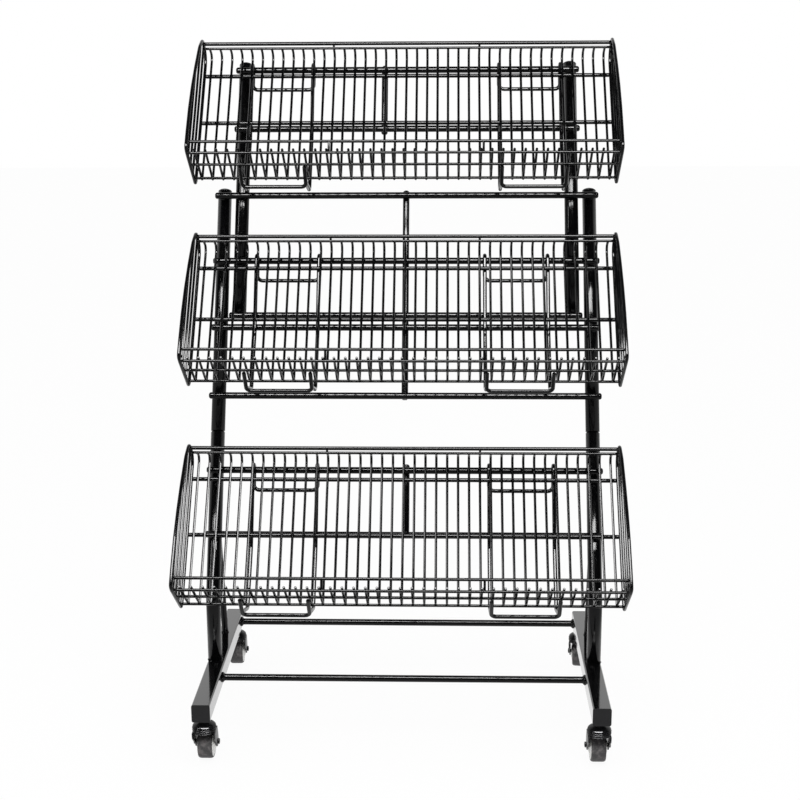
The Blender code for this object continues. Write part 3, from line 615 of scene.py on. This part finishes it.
# %% Braces
BRACE_FOOT_Y = 0.4120
BRACE_TOP_Z = 0.4800
BRACE_LIFT = 0.0015
BRACE_SINK = 0.0010
BRACE_END = 0.0300
for side, sign in SIDES:
    foot = Vector((sign * POST_X, SHIFT_Y + BRACE_FOOT_Y, LEG_TOP + BRACE_LIFT))
    head = on_post(sign * POST_X, BRACE_TOP_Z, POST_BACK + TUBE_R - BRACE_SINK)
    slope = (head - foot).normalized()
    bm = bmesh.new()
    rod(bm, (foot, head), BAR_R, BAR_SIDES, ends=False)
    for end, facing in ((foot, Vector((0, 0, -1))), (head, OUT_PLANE)):
        near = [v for v in bm.verts if (v.co - end).length < BRACE_END]
        for v in near:
            v.co += slope * ((end - v.co).dot(facing) / slope.dot(facing))
        bmesh.ops.contextual_create(bm, geom=ring_edges(near))
    piece(f"brace_{side}_rod", bm, FRAME_COAT, BODY, f"brace_{side}", slot="frame_coat")
print("braces:", len(SIDES))

# %% [markdown]
# ## Base
# Each leg is a square tube with rolled corners. A cube is stretched to length and its
# long edges are rounded first, then the rims of both ends. A thin plug closes each end.

# %% Legs
LEG_X = 0.4430
LEG_SIZE = 0.0410
LEG_LENGTH = 0.5650
LEG_CORNER = 0.0034
LEG_RIM = 0.0005
PLUG_DEPTH = 0.0022
PLUG_SIZE = 0.0416
PLUG_CORNER = 0.0042
PLUG_RIM = 0.0008
LEG_MIDDLE_Z = LEG_TOP - LEG_SIZE / 2
ALONG_AXIS = 0.9


def is_along_y(edge):
    way = (edge.verts[0].co - edge.verts[1].co).normalized()
    return abs(way.y) > ALONG_AXIS


def square_tube(bm, center, size, corner, rim):
    """A bar of square section with rolled corners and a soft rim at both ends."""
    before = set(bm.edges)
    made = bmesh.ops.create_cube(bm, size=1.0)["verts"]
    bmesh.ops.scale(bm, verts=made, vec=size)
    bmesh.ops.translate(bm, verts=made, vec=center)
    soften(bm, [e for e in bm.edges if e not in before and is_along_y(e)], corner, 5)
    bm.normal_update()
    rims = [e for e in bm.edges if e not in before
            and any(abs(f.normal.y) > ALONG_AXIS for f in e.link_faces)]
    soften(bm, rims, rim, 2)


for side, sign in SIDES:
    bm = bmesh.new()
    center = Vector((sign * LEG_X, SHIFT_Y + LEG_LENGTH / 2, LEG_MIDDLE_Z))
    square_tube(bm, center, (LEG_SIZE, LEG_LENGTH - 2 * PLUG_DEPTH, LEG_SIZE),
                LEG_CORNER, LEG_RIM)
    piece(f"leg_{side}_tube", bm, LEG_COAT, BODY, f"leg_{side}", slot="frame_coat",
          angle=CRISP_ANGLE, flat=True)
    bm = bmesh.new()
    for end in (-1, 1):
        place = center + Vector((0, end * (LEG_LENGTH - PLUG_DEPTH) / 2, 0))
        square_tube(bm, place, (PLUG_SIZE, PLUG_DEPTH, PLUG_SIZE), PLUG_CORNER, PLUG_RIM)
    piece(f"leg_{side}_end_plugs", bm, CAP, BODY, slot="cap_plastic", angle=CRISP_ANGLE,
          flat=True)
print("legs:", len(SIDES), "with a plug at each end")

# %% [markdown]
# The base crossbars run between the legs' inner walls and end in small weld collars, so
# bar and collars are one turned profile, mirrored at the middle.

# %% Base crossbars
COLLAR_PROFILE = (
    (0, 0), (0.0118, 0), (0.0125, 0.0008), (0.0117, 0.0024), (0.0098, 0.0040),
    (0.0085, 0.0052), (0.0080, 0.0070))
BASE_BARS = (("front", 0.1950), ("rear", 0.5318))
BASE_BAR_SIDES = 20
ALONG = Vector((1, 0, 0))
REACH = LEG_X - LEG_SIZE / 2 - CONTACT
for end, y in BASE_BARS:
    bm = bmesh.new()
    start = Vector((-REACH, SHIFT_Y + y, LEG_MIDDLE_Z))
    mirrored = tuple((r, 2 * REACH - h) for r, h in reversed(COLLAR_PROFILE))
    turned_piece(bm, COLLAR_PROFILE + mirrored, start, ALONG, BASE_BAR_SIDES)
    piece(f"base_crossbar_{end}_bar", bm, FRAME_COAT, BODY, f"base_crossbar_{end}",
          slot="frame_coat")
print("base crossbars:", len(BASE_BARS))

# %% [markdown]
# Where a bar crosses a tube the real rack has a short weld above and below the bar, and
# a weld runs round the foot of each post and brace. All the beads are one mesh.

# %% Weld beads
BEAD_R = 0.0026
BEAD_SIDES = 6
BEAD_HALF = Vector((0.0085, 0, 0))
BEAD_BACK = 0.0072
BEAD_RISE = 0.0062
FOOT_BEAD_R = 0.0018
FOOT_BEAD_BEND = 0.0040
FOOT_BEAD_LIFT = 0.0010
FOOT_CORNERS = 12

bm = bmesh.new()
for heights, x in ((LOW_BARS, POST_X), (HIGH_BARS, UPPER_X), (LOW_BARS[:2], UPPER_X)):
    for z in heights:
        for _, sign in SIDES:
            for lift in (-BEAD_RISE, BEAD_RISE):
                spot = Vector((sign * x, lean_y(z), z)) - OUT_PLANE * BEAD_BACK
                spot = spot + UP_PLANE * lift
                rod(bm, (spot - BEAD_HALF, spot + BEAD_HALF), BEAD_R, BEAD_SIDES)
for _, sign in SIDES:
    for y, radius in ((lean_y(BEND_Z, POST_BACK), TUBE_R), (SHIFT_Y + BRACE_FOOT_Y, BAR_R)):
        center = Vector((sign * POST_X, y, LEG_TOP + FOOT_BEAD_LIFT))
        turns = [i * math.tau / FOOT_CORNERS for i in range(FOOT_CORNERS)]
        loop = [center + Vector((math.cos(a) * radius, math.sin(a) * radius, 0))
                for a in turns]
        rod(bm, loop, FOOT_BEAD_R, BEAD_SIDES, FOOT_BEAD_BEND, loop=True)
beads = piece("frame_weld_beads", bm, FRAME_COAT, BODY, slot="frame_coat")
print("weld beads:", len(beads.data.polygons), "faces")

# %% [markdown]
# ## Baskets
# A basket is drawn once in its own section: u runs back and v up from the lowest fold.
# The floor rises at the back and a short lip rises in front, square to it. One long
# wire is bent through that section and copied along the basket.

# %% The basket's section
TRAY = math.radians(38.3)
TRAY_SIN, TRAY_COS = math.sin(TRAY), math.cos(TRAY)
WIRE_R = 0.0030
WIRE_COUNT = 39
PITCH = 0.0254
WIRE_BENDS = (0, 0.034, 0.0045, 0)
FLOOR_RUN = 0.3600
LIP_RUN = 0.1305
RAIL_TOP = (0.1885, 0.3122)
RAIL_SECOND = (0.1889, 0.3010)
GUARD = (-0.0940, 0.0976)
FLOOR_RODS = (0.3044, 0.1665)
LIP_RODS = (0.0178, 0.0760, 0.1247)
FLOOR_ROD_R = 0.0050
LIP_ROD_R = 0.0033
PANEL_X = 0.4990
RIM_R = 0.0040
HOOK_V = 0.2475
RACK_U = 0.1142
BASKETS = (
    ("top", HIGH_BARS[0] - HOOK_V), ("middle", LOW_BARS[1] - HOOK_V),
    ("bottom", LOW_BARS[4] - HOOK_V))


def on_floor(run, below=0.0):
    """The (u, v) of a point up the floor from the fold, or square below it."""
    return (run * TRAY_SIN + below * TRAY_COS, run * TRAY_COS - below * TRAY_SIN)


def on_lip(run, below=0.0):
    """The (u, v) of a point up the lip from the fold, or square in front of it."""
    return (-run * TRAY_COS - below * TRAY_SIN, run * TRAY_SIN - below * TRAY_COS)


def point(x, uv, base):
    """A place in the section of the basket that has its fold at the base."""
    return Vector((x, base.y + uv[0], base.z + uv[1]))


print("long wires per basket:", WIRE_COUNT)

# %% [markdown]
# On the real basket every crossing is spot welded. An array modifier could repeat the
# bent wire, but copies made in the mesh let the two tie wires near the middle share its
# places. Five straight rods and three rails cross the long wires and hold them.

# %% Long wires and cross rods
WIRE_SIDES = 8
WIRE_STEPS = 4
TIE_R = 0.0027
TIE_PLACES = (12, 26)
TIE_ASIDE = 0.0056
FLOOR_ROD_LOW = WIRE_R + FLOOR_ROD_R - 0.0004
LIP_ROD_LOW = WIRE_R + LIP_ROD_R - 0.0003
CROSS_RODS = (
    *((on_floor(run, FLOOR_ROD_LOW), FLOOR_ROD_R, 12) for run in FLOOR_RODS),
    *((on_lip(run, LIP_ROD_LOW), LIP_ROD_R, 10) for run in LIP_RODS),
    (RAIL_TOP, 0.0046, 12), (RAIL_SECOND, 0.0033, 10), (GUARD, 0.0036, 10))
RODS_HALF = PANEL_X - RIM_R * 0.6


def repeat_along_x(bm, count, pitch):
    """Copies of everything in the mesh, stepped along X."""
    source = list(bm.verts) + list(bm.edges) + list(bm.faces)
    for i in range(1, count):
        made = bmesh.ops.duplicate(bm, geom=source)
        verts = [g for g in made["geom"] if isinstance(g, bmesh.types.BMVert)]
        bmesh.ops.translate(bm, verts=verts, vec=(i * pitch, 0, 0))


def straight_wire(bm, x, low, high, base, radius):
    """A wire between two points of the section."""
    rod(bm, (point(x, low, base), point(x, high, base)), radius, WIRE_SIDES)


def basket_mesh(name, base):
    """All the wires of one basket but its ends."""
    first = -(WIRE_COUNT - 1) / 2 * PITCH
    corners = (RAIL_SECOND, on_floor(FLOOR_RUN), on_floor(0), on_lip(LIP_RUN))
    bm = bmesh.new()
    rod(bm, [point(first, uv, base) for uv in corners], WIRE_R, WIRE_SIDES, WIRE_BENDS,
        WIRE_STEPS)
    repeat_along_x(bm, WIRE_COUNT, PITCH)
    for uv, radius, sides in CROSS_RODS:
        rod(bm, (point(-RODS_HALF, uv, base), point(RODS_HALF, uv, base)), radius, sides)
    front = on_lip(LIP_RODS[-1], WIRE_R + LIP_ROD_R)
    for i in TIE_PLACES:
        x = first + i * PITCH
        straight_wire(bm, x, RAIL_SECOND, RAIL_TOP, base, TIE_R)
        straight_wire(bm, x + TIE_ASIDE, front, GUARD, base, TIE_R)
    return piece(f"basket_{name}_wires", bm, WIRE_COAT, BODY, f"basket_{name}_mesh",
                 slot="basket_coat")


BASES = {}
for name, z in BASKETS:
    BASES[name] = Vector((0, lean_y(z) - RACK_U, z))
    made = basket_mesh(name, BASES[name])
    print(made.name, len(made.data.polygons), "faces")

# %% [markdown]
# Each end is closed by a flat grille. Its rim is one rod bent all the way round, and
# three wires cross it parallel to the basket's floor.

# %% End grilles
PANEL_EDGE = (
    (0.1850, 0.3235), (0.1350, 0.3065), (0.0700, 0.2640), (0.0100, 0.2190),
    (-0.0420, 0.1720), (-0.0880, 0.1210), (-0.1165, 0.0860), (-0.1035, 0.0720))
PANEL_WIRES = (0.0370, 0.0740, 0.1110)
PANEL_WIRE_R = 0.0031
FLOOR_BELOW = 0.0070
LIP_BELOW = 0.0076
FOLD = tuple(a + b for a, b in zip(on_floor(0, FLOOR_BELOW), on_lip(0, LIP_BELOW)))
UPPER_EDGE = (on_floor(FLOOR_RUN, FLOOR_BELOW), *PANEL_EDGE)
RIM_BENDS = (0.010, 0.030, 0.026, *([0.040] * (len(PANEL_EDGE) - 2)), 0.012)
RIM_SIDES = 10
RIM_STEPS = 5
PARALLEL = 1e-9
PAST_START = 0.01


def meets(start, edge):
    """Where a line parallel to the floor meets the rim."""
    best = None
    for a, b in zip(edge, edge[1:]):
        du, dv = b[0] - a[0], b[1] - a[1]
        cross = TRAY_SIN * dv - TRAY_COS * du
        if abs(cross) < PARALLEL:
            continue
        along = ((a[0] - start[0]) * dv - (a[1] - start[1]) * du) / cross
        share = ((a[0] - start[0]) * TRAY_COS - (a[1] - start[1]) * TRAY_SIN) / cross
        if along > PAST_START and 0 <= share <= 1 and (best is None or along < best):
            best = along
    return (start[0] + TRAY_SIN * best, start[1] + TRAY_COS * best)


for name, base in BASES.items():
    for side, sign in SIDES:
        x = sign * PANEL_X
        bm = bmesh.new()
        rod(bm, [point(x, uv, base) for uv in (FOLD, *UPPER_EDGE)], RIM_R, RIM_SIDES,
            RIM_BENDS, RIM_STEPS, loop=True)
        for run in PANEL_WIRES:
            low = on_lip(run, LIP_BELOW)
            straight_wire(bm, x, low, meets(low, UPPER_EDGE), base, PANEL_WIRE_R)
        piece(f"basket_{name}_{side}_grille", bm, WIRE_COAT, BODY,
              f"basket_{name}_end_{side}", slot="basket_coat")
print("end grilles:", 2 * len(BASES))

# %% [markdown]
# ## Brackets
# One rod makes a bracket: it hooks over a bar, runs down in front of it, turns forward
# under the basket and ends in a cradle whose two arms stand in front of the lip.

# %% The bracket's side
BRACKET_R = 0.00475
FRONT = Vector((0, -0.0330, -0.0130))
BEND = Vector((0, 0.0480, -0.0290))
KINK_V = 0.0800
BACK_DROP = 0.0420
ARM_START = 0.0120
ARM_TIP = 0.0640
REACH_OUT = BAR_R + CONTACT + BRACKET_R


def on_bars(v):
    """A point of the bars' plane, counted from the basket's fold."""
    return Vector((0, RACK_U + math.tan(LEAN) * v, v))


lip_rod = Vector((0, *on_lip(LIP_RODS[1], WIRE_R + LIP_ROD_R)))
toward = lip_rod - FRONT
swing = Matrix.Rotation(
    math.asin((LIP_ROD_R + BRACKET_R + CONTACT) / toward.length), 3, "X")
arm = (swing @ toward).normalized()
hooked = on_bars(HOOK_V)
ridge = UP_PLANE * REACH_OUT
BRACKET_PATH = (
    FRONT + arm * ARM_START, BEND, on_bars(KINK_V) + OUT_PLANE * REACH_OUT,
    hooked + OUT_PLANE * REACH_OUT + ridge, hooked - OUT_PLANE * REACH_OUT + ridge,
    hooked - OUT_PLANE * REACH_OUT - UP_PLANE * (BACK_DROP / math.cos(LEAN)))
print("corners on a bracket's side:", len(BRACKET_PATH))

# %% [markdown]
# The path runs up one side, across behind the bar and down the other side. The cradle
# is a second rod welded in front, with its arms at the angle that just clears the lip.

# %% Brackets
BRACKET_HALF = 0.0755
BRACKET_PLACES = {
    "top": (-0.3075, 0.3025), "middle": (-0.2845, 0.2665), "bottom": (-0.2800, 0.2755)}
BRACKET_SIDES = 12
BRACKET_STEPS = 6
CRADLE_BEND = 0.0120
CRADLE_TIP = FRONT + arm * ARM_TIP
for name, places in BRACKET_PLACES.items():
    for (side, sign), x in zip(SIDES, places):
        near = Vector((x - BRACKET_HALF, BASES[name].y, BASES[name].z))
        far = Vector((x + BRACKET_HALF, BASES[name].y, BASES[name].z))
        bm = bmesh.new()
        rod(bm, [near + p for p in BRACKET_PATH] + [far + p for p in reversed(BRACKET_PATH)],
            BRACKET_R, BRACKET_SIDES, REACH_OUT, BRACKET_STEPS)
        rod(bm, (near + CRADLE_TIP, near + FRONT, far + FRONT, far + CRADLE_TIP),
            BRACKET_R, BRACKET_SIDES, CRADLE_BEND, BRACKET_STEPS)
        piece(f"bracket_{name}_{side}_rod", bm, BRACKET_COAT, BODY, f"bracket_{name}_{side}",
              slot="frame_coat")
print("brackets:", 2 * len(BRACKET_PLACES))

# %% [markdown]
# ## Castors
# Each castor has a swivel race that stays under the leg, a pressed fork, an axle bolt
# with its nut, and a wheel. They are modelled at the swivel axis, with the wheel
# trailing behind it, and are then turned and carried to their legs.

# %% Turned castor profiles
WHEEL_R = 0.0375
TRAIL = 0.0270
ORIGIN = Vector((0, 0, 0))
HUB = Vector((0, TRAIL, WHEEL_R))
UP = Vector((0, 0, 1))
ROUND_SIDES = 40
RACE_PROFILE = (
    (0, 0.0850), (0.0240, 0.0850), (0.0256, 0.0851), (0.0265, 0.0855), (0.0270, 0.0861),
    (0.0272, 0.0868), (0.0270, 0.0875), (0.0264, 0.0881), (0.0256, 0.0885), (0.0254, 0.0889),
    (0.0260, 0.0894), (0.0264, 0.0901), (0.0262, 0.0910), (0.0254, 0.0922), (0.0237, 0.0939),
    (0.0210, 0.0956), (0.0178, 0.0969), (0.0149, 0.0980), (0.0128, 0.0992), (0.0115, 0.1008),
    (0.0110, 0.1026), (0.0110, 0.1068), (0.0106, 0.1072), (0.0060, 0.1072), (0.0060, 0.1236),
    (0.0056, 0.1240), (0, 0.1240))
CROWN_PROFILE = (
    (0, 0.0765), (0.0240, 0.0765), (0.0256, 0.0767), (0.0262, 0.0773), (0.0262, 0.0784),
    (0.0256, 0.0790), (0.0257, 0.0794), (0.0264, 0.0799), (0.0270, 0.0807), (0.0272, 0.0816),
    (0.0270, 0.0826), (0.0264, 0.0835), (0.0254, 0.0842), (0.0238, 0.0846), (0, 0.0846))
CORE_PROFILE = (
    (0.0046, -0.0205), (0.0150, -0.0205), (0.0164, -0.0203), (0.0172, -0.0197),
    (0.0240, -0.0182), (0.0316, -0.0166), (0.0330, -0.0160), (0.0334, -0.0148))
TYRE_PROFILE = (
    (0.0330, -0.0146), (0.0332, -0.0163), (0.0340, -0.01665), (0.0352, -0.0162),
    (0.0364, -0.0147), (0.0371, -0.0128), (0.0375, -0.0100))


def ring_of(profile):
    """A half profile mirrored across the wheel's middle and closed through its bore."""
    return profile + tuple((r, -h) for r, h in reversed(profile)) + (profile[0],)


def turned_mesh(profile, base, axis, sides):
    """A new mesh with one turned piece."""
    bm = bmesh.new()
    turned_piece(bm, profile, base, axis, sides)
    return bm


print("race, crown, core and tyre profiles:", len(RACE_PROFILE), len(CROWN_PROFILE),
      len(CORE_PROFILE), len(TYRE_PROFILE))

# %% [markdown]
# The fork is one pressing: a round crown with two cheeks that reach back to the axle.
# The crown is turned, and each cheek is a flat outline that is extruded and bevelled.

# %% Fork
CHEEK_THICK = 0.0028
CHEEK_FOOT_IN = 0.0224
CHEEK_TOP_IN = 0.0232
CHEEK_FOOT_R = 0.0115
CHEEK_FOOT_STEPS = 10
CHEEK_FOOT_FROM = 200
CHEEK_FOOT_TURN = 165
CHEEK_FRONT = ((-0.0190, 0.0780), (-0.0190, 0.0700), (-0.0176, 0.0640))
CHEEK_BACK = ((0.0352, 0.0500), (0.0318, 0.0590), (0.0280, 0.0660), (0.0225, 0.0780))
CHEEK_EDGE = 0.0008
CROWN_Z = 0.0765


def cheek_outline():
    """The cheek from its front edge round the axle and up its back edge."""
    foot = []
    for i in range(CHEEK_FOOT_STEPS + 1):
        angle = math.radians(CHEEK_FOOT_FROM + CHEEK_FOOT_TURN * i / CHEEK_FOOT_STEPS)
        foot.append((TRAIL + CHEEK_FOOT_R * math.cos(angle),
                     WHEEL_R + CHEEK_FOOT_R * math.sin(angle)))
    return (*CHEEK_FRONT, *foot, *CHEEK_BACK)


def fork_mesh():
    bm = turned_mesh(CROWN_PROFILE, ORIGIN, UP, ROUND_SIDES)
    slope = (CHEEK_TOP_IN - CHEEK_FOOT_IN) / (CROWN_Z - WHEEL_R)
    for sign in (-1, 1):
        verts = [bm.verts.new((sign * (CHEEK_FOOT_IN + slope * (z - WHEEL_R)), y, z))
                 for y, z in cheek_outline()]
        made = bmesh.ops.extrude_face_region(bm, geom=[bm.faces.new(verts)])
        moved = [g for g in made["geom"] if isinstance(g, bmesh.types.BMVert)]
        bmesh.ops.translate(bm, verts=moved, vec=(sign * CHEEK_THICK, 0, 0))
        outer = [g for g in made["geom"] if isinstance(g, bmesh.types.BMFace)]
        soften(bm, once_each(e for f in outer for e in f.edges), CHEEK_EDGE, 2)
    return bm


print("cheeks are", CHEEK_THICK * 1000, "mm thick")

# %% [markdown]
# The axle is a bolt through both cheeks. Head and nut are six-sided cones of equal
# radii, each on a thin washer.

# %% Axle bolt
AXLE_R = 0.0042
AXLE_SIDES = 16
AXLE_PAST = 0.0040
CHEEK_GAP = 0.0004
WASHER_THICK = 0.0008
NUT_THICK = 0.0028
NUT_EDGE = 0.0003
CHEEK_OUTSIDE = CHEEK_FOOT_IN + CHEEK_THICK + CHEEK_GAP
# Each disc as its inner face, its thickness, its radius and its number of sides.
DISCS = (
    (CHEEK_OUTSIDE, WASHER_THICK, 0.0066, 24),
    (CHEEK_OUTSIDE + WASHER_THICK, NUT_THICK, 0.0064, 6))


def axle_mesh():
    bm = bmesh.new()
    end = CHEEK_OUTSIDE + AXLE_PAST
    rod(bm, ((-end, TRAIL, WHEEL_R), (end, TRAIL, WHEEL_R)), AXLE_R, AXLE_SIDES)
    for sign in (-1, 1):
        for start, thick, radius, sides in DISCS:
            middle = (sign * (start + thick / 2), TRAIL, WHEEL_R)
            made = bmesh.ops.create_cone(
                bm, cap_ends=True, segments=sides, radius1=radius, radius2=radius,
                depth=thick,
                matrix=Matrix.Translation(middle) @ Matrix.Rotation(math.pi / 2, 4, "Y"))
            edges = once_each(e for v in made["verts"] for e in v.link_edges)
            soften(bm, edges, NUT_EDGE, 1)
    return bm


print("axle radius", AXLE_R * 1000, "mm")

# %% [markdown]
# All four wheels trail towards the back, the rear pair slightly turned, as the rack was
# pushed into place. The turn angles are the ones the packed joints rest at.

# %% Four castors
INSET = 0.0240
CASTOR_X = 0.4400
TYRE_SIDES = 56
CORE_SIDES = 48
CASTORS = (
    ("front_left", -CASTOR_X, INSET, 0.0), ("front_right", CASTOR_X, INSET, 0.0),
    ("rear_left", -CASTOR_X, LEG_LENGTH - INSET, 2.0),
    ("rear_right", CASTOR_X, LEG_LENGTH - INSET, -8.0))


def castor_piece(label, bm, place, material, body, slot, *nodes):
    """A piece modelled at the swivel axis, turned and carried to its castor."""
    x, y, turn = place
    bmesh.ops.rotate(bm, verts=bm.verts, cent=ORIGIN, matrix=Matrix.Rotation(turn, 3, "Z"))
    bmesh.ops.translate(bm, verts=bm.verts, vec=(x, SHIFT_Y + y, 0))
    piece(label, bm, material, body, *nodes, slot=slot, angle=CRISP_ANGLE)


for name, x, y, degrees in CASTORS:
    place = (x, y, math.radians(degrees))
    base = f"castor_{name}"
    castor_piece(f"{base}_swivel_race", turned_mesh(RACE_PROFILE, ORIGIN, UP, ROUND_SIDES),
                 (x, y, 0), RACE_STEEL, BODY, "castor_steel", f"{base}_race")
    castor_piece(f"{base}_pressed_fork", fork_mesh(), place, FORK_STEEL,
                 f"{base}_swivel_body", "castor_steel", f"{base}_fork")
    castor_piece(f"{base}_axle_bolt", axle_mesh(), place, BOLT_STEEL,
                 f"{base}_swivel_body", "castor_steel", f"{base}_axle")
    tyre = turned_mesh(ring_of(TYRE_PROFILE), HUB, ALONG, TYRE_SIDES)
    castor_piece(f"{base}_tyre", tyre, place, TYRE, f"{base}_wheel_body",
                 "wheel_rubber", f"{base}_wheel")
    core = turned_mesh(ring_of(CORE_PROFILE), HUB, ALONG, CORE_SIDES)
    castor_piece(f"{base}_wheel_core", core, place, CORE, f"{base}_wheel_body",
                 "wheel_rubber")
print("castors:", len(CASTORS))

# %% [markdown]
# ## Studio
# The photograph has a white sweep. To the camera the floor is nearly pure white and
# keeps only a faint shadow, which a mix of its own look and a white glow gives.

# %% Floor
FLOOR_HALF = 14.0
FLOOR_GREY = (0.94, 0.94, 0.94, 1)
FLOOR_GLOW = 0.94
WHITE = (1, 1, 1, 1)
bm = bmesh.new()
bmesh.ops.create_grid(bm, x_segments=1, y_segments=1, size=FLOOR_HALF)
floor_mesh = bpy.data.meshes.new("studio_floor")
bm.to_mesh(floor_mesh)
bm.free()
floor = bpy.data.objects.new("studio_floor", floor_mesh)
scene.collection.objects.link(floor)
white_floor = Paint("studio_floor_white", Base_Color=FLOOR_GREY, Roughness=0.85)


def ray(recipe, kind):
    return recipe.node("ShaderNodeLightPath", output=kind)


def background_rays(recipe):
    """1 for the rays that should see the plain white background."""
    return (ray(recipe, "Is Camera Ray") | ray(recipe, "Is Glossy Ray")
            | ray(recipe, "Is Transmission Ray"))


glow = white_floor.node("ShaderNodeEmission", None, {"Color": WHITE, "Strength": 1.0})
shaded = Wire(white_floor, white_floor.shader.outputs[0])
white_floor.surface(
    white_floor.mix_shader(background_rays(white_floor) * FLOOR_GLOW, shaded, glow))
floor_mesh.materials.append(white_floor.material)
print("floor half width", FLOOR_HALF, "m")

# %% [markdown]
# The world is white behind the rack up to the top of the sweep, and dark behind the
# camera and under the ceiling, as in a real studio. Glossy coat then shows the white
# backdrop at its glancing edges and stays black where it faces the camera.

# %% World
DARK_ROOM = (0.020, 0.020, 0.021, 1)
PLAIN_STRENGTH = 0.80
world = bpy.data.worlds.new("studio_world")
scene.world = world
world.use_nodes = True
studio = Recipe(world.node_tree)


def background(color, strength):
    return studio.node("ShaderNodeBackground", None, {"Color": color, "Strength": strength})


way = studio.node("ShaderNodeTexCoord", output="Generated")
depth = studio.node("ShaderNodeSeparateXYZ", None, {0: way}, output="Y")
height = studio.node("ShaderNodeSeparateXYZ", None, {0: way}, output="Z")
sweep = depth.above(0.06, 0.38) * (1 - height.above(0.55, 0.80))
seen_in_gloss = background(studio.mix(sweep, DARK_ROOM, WHITE), 1.0)
plain_light = background(WHITE, PLAIN_STRENGTH)
backdrop = background(WHITE, 1.0)
gloss_or_glass = ray(studio, "Is Glossy Ray") | ray(studio, "Is Transmission Ray")
lit = studio.mix_shader(gloss_or_glass, plain_light, seen_in_gloss)
studio.surface(studio.mix_shader(ray(studio, "Is Camera Ray"), lit, backdrop))
print("world nodes:", len(world.node_tree.nodes))

# %% [markdown]
# The even light comes from the world and one lamp that shows in no reflection. Two soft
# boxes do the opposite and only show as reflections: one above and in front draws the
# white line on every bar and the pale middles of the sloping wires, and one at the left
# draws the streak on the tubes.

# %% Lamps
# Name, place, aim, size, watts, and whether it lights evenly or only shows in gloss.
LAMPS = (
    ("top_lamp", (0.3, -0.9, 3.00), (0, 0, 0.8), (1.6, 1.6), 22.0, True),
    ("overhead_box", (0.0, -1.45, 2.60), (0, -0.10, 0.9), (2.8, 0.95), 540.0, False),
    ("left_box", (-2.20, -1.25, 2.30), (0, 0, 1.6), (0.25, 3.0), 58.0, False))
for name, place, aim, size, power, even in LAMPS:
    data = bpy.data.lights.new(name, "AREA")
    data.shape = "RECTANGLE"
    data.size, data.size_y = size
    data.energy = power
    lamp = bpy.data.objects.new(name, data)
    lamp.location = place
    lamp.rotation_euler = (Vector(aim) - Vector(place)).to_track_quat("-Z", "Y").to_euler()
    lamp.visible_diffuse = even
    lamp.visible_glossy = not even
    scene.collection.objects.link(lamp)
scene.view_settings.view_transform = "Standard"
print("lamps:", len(LAMPS))

# %% [markdown]
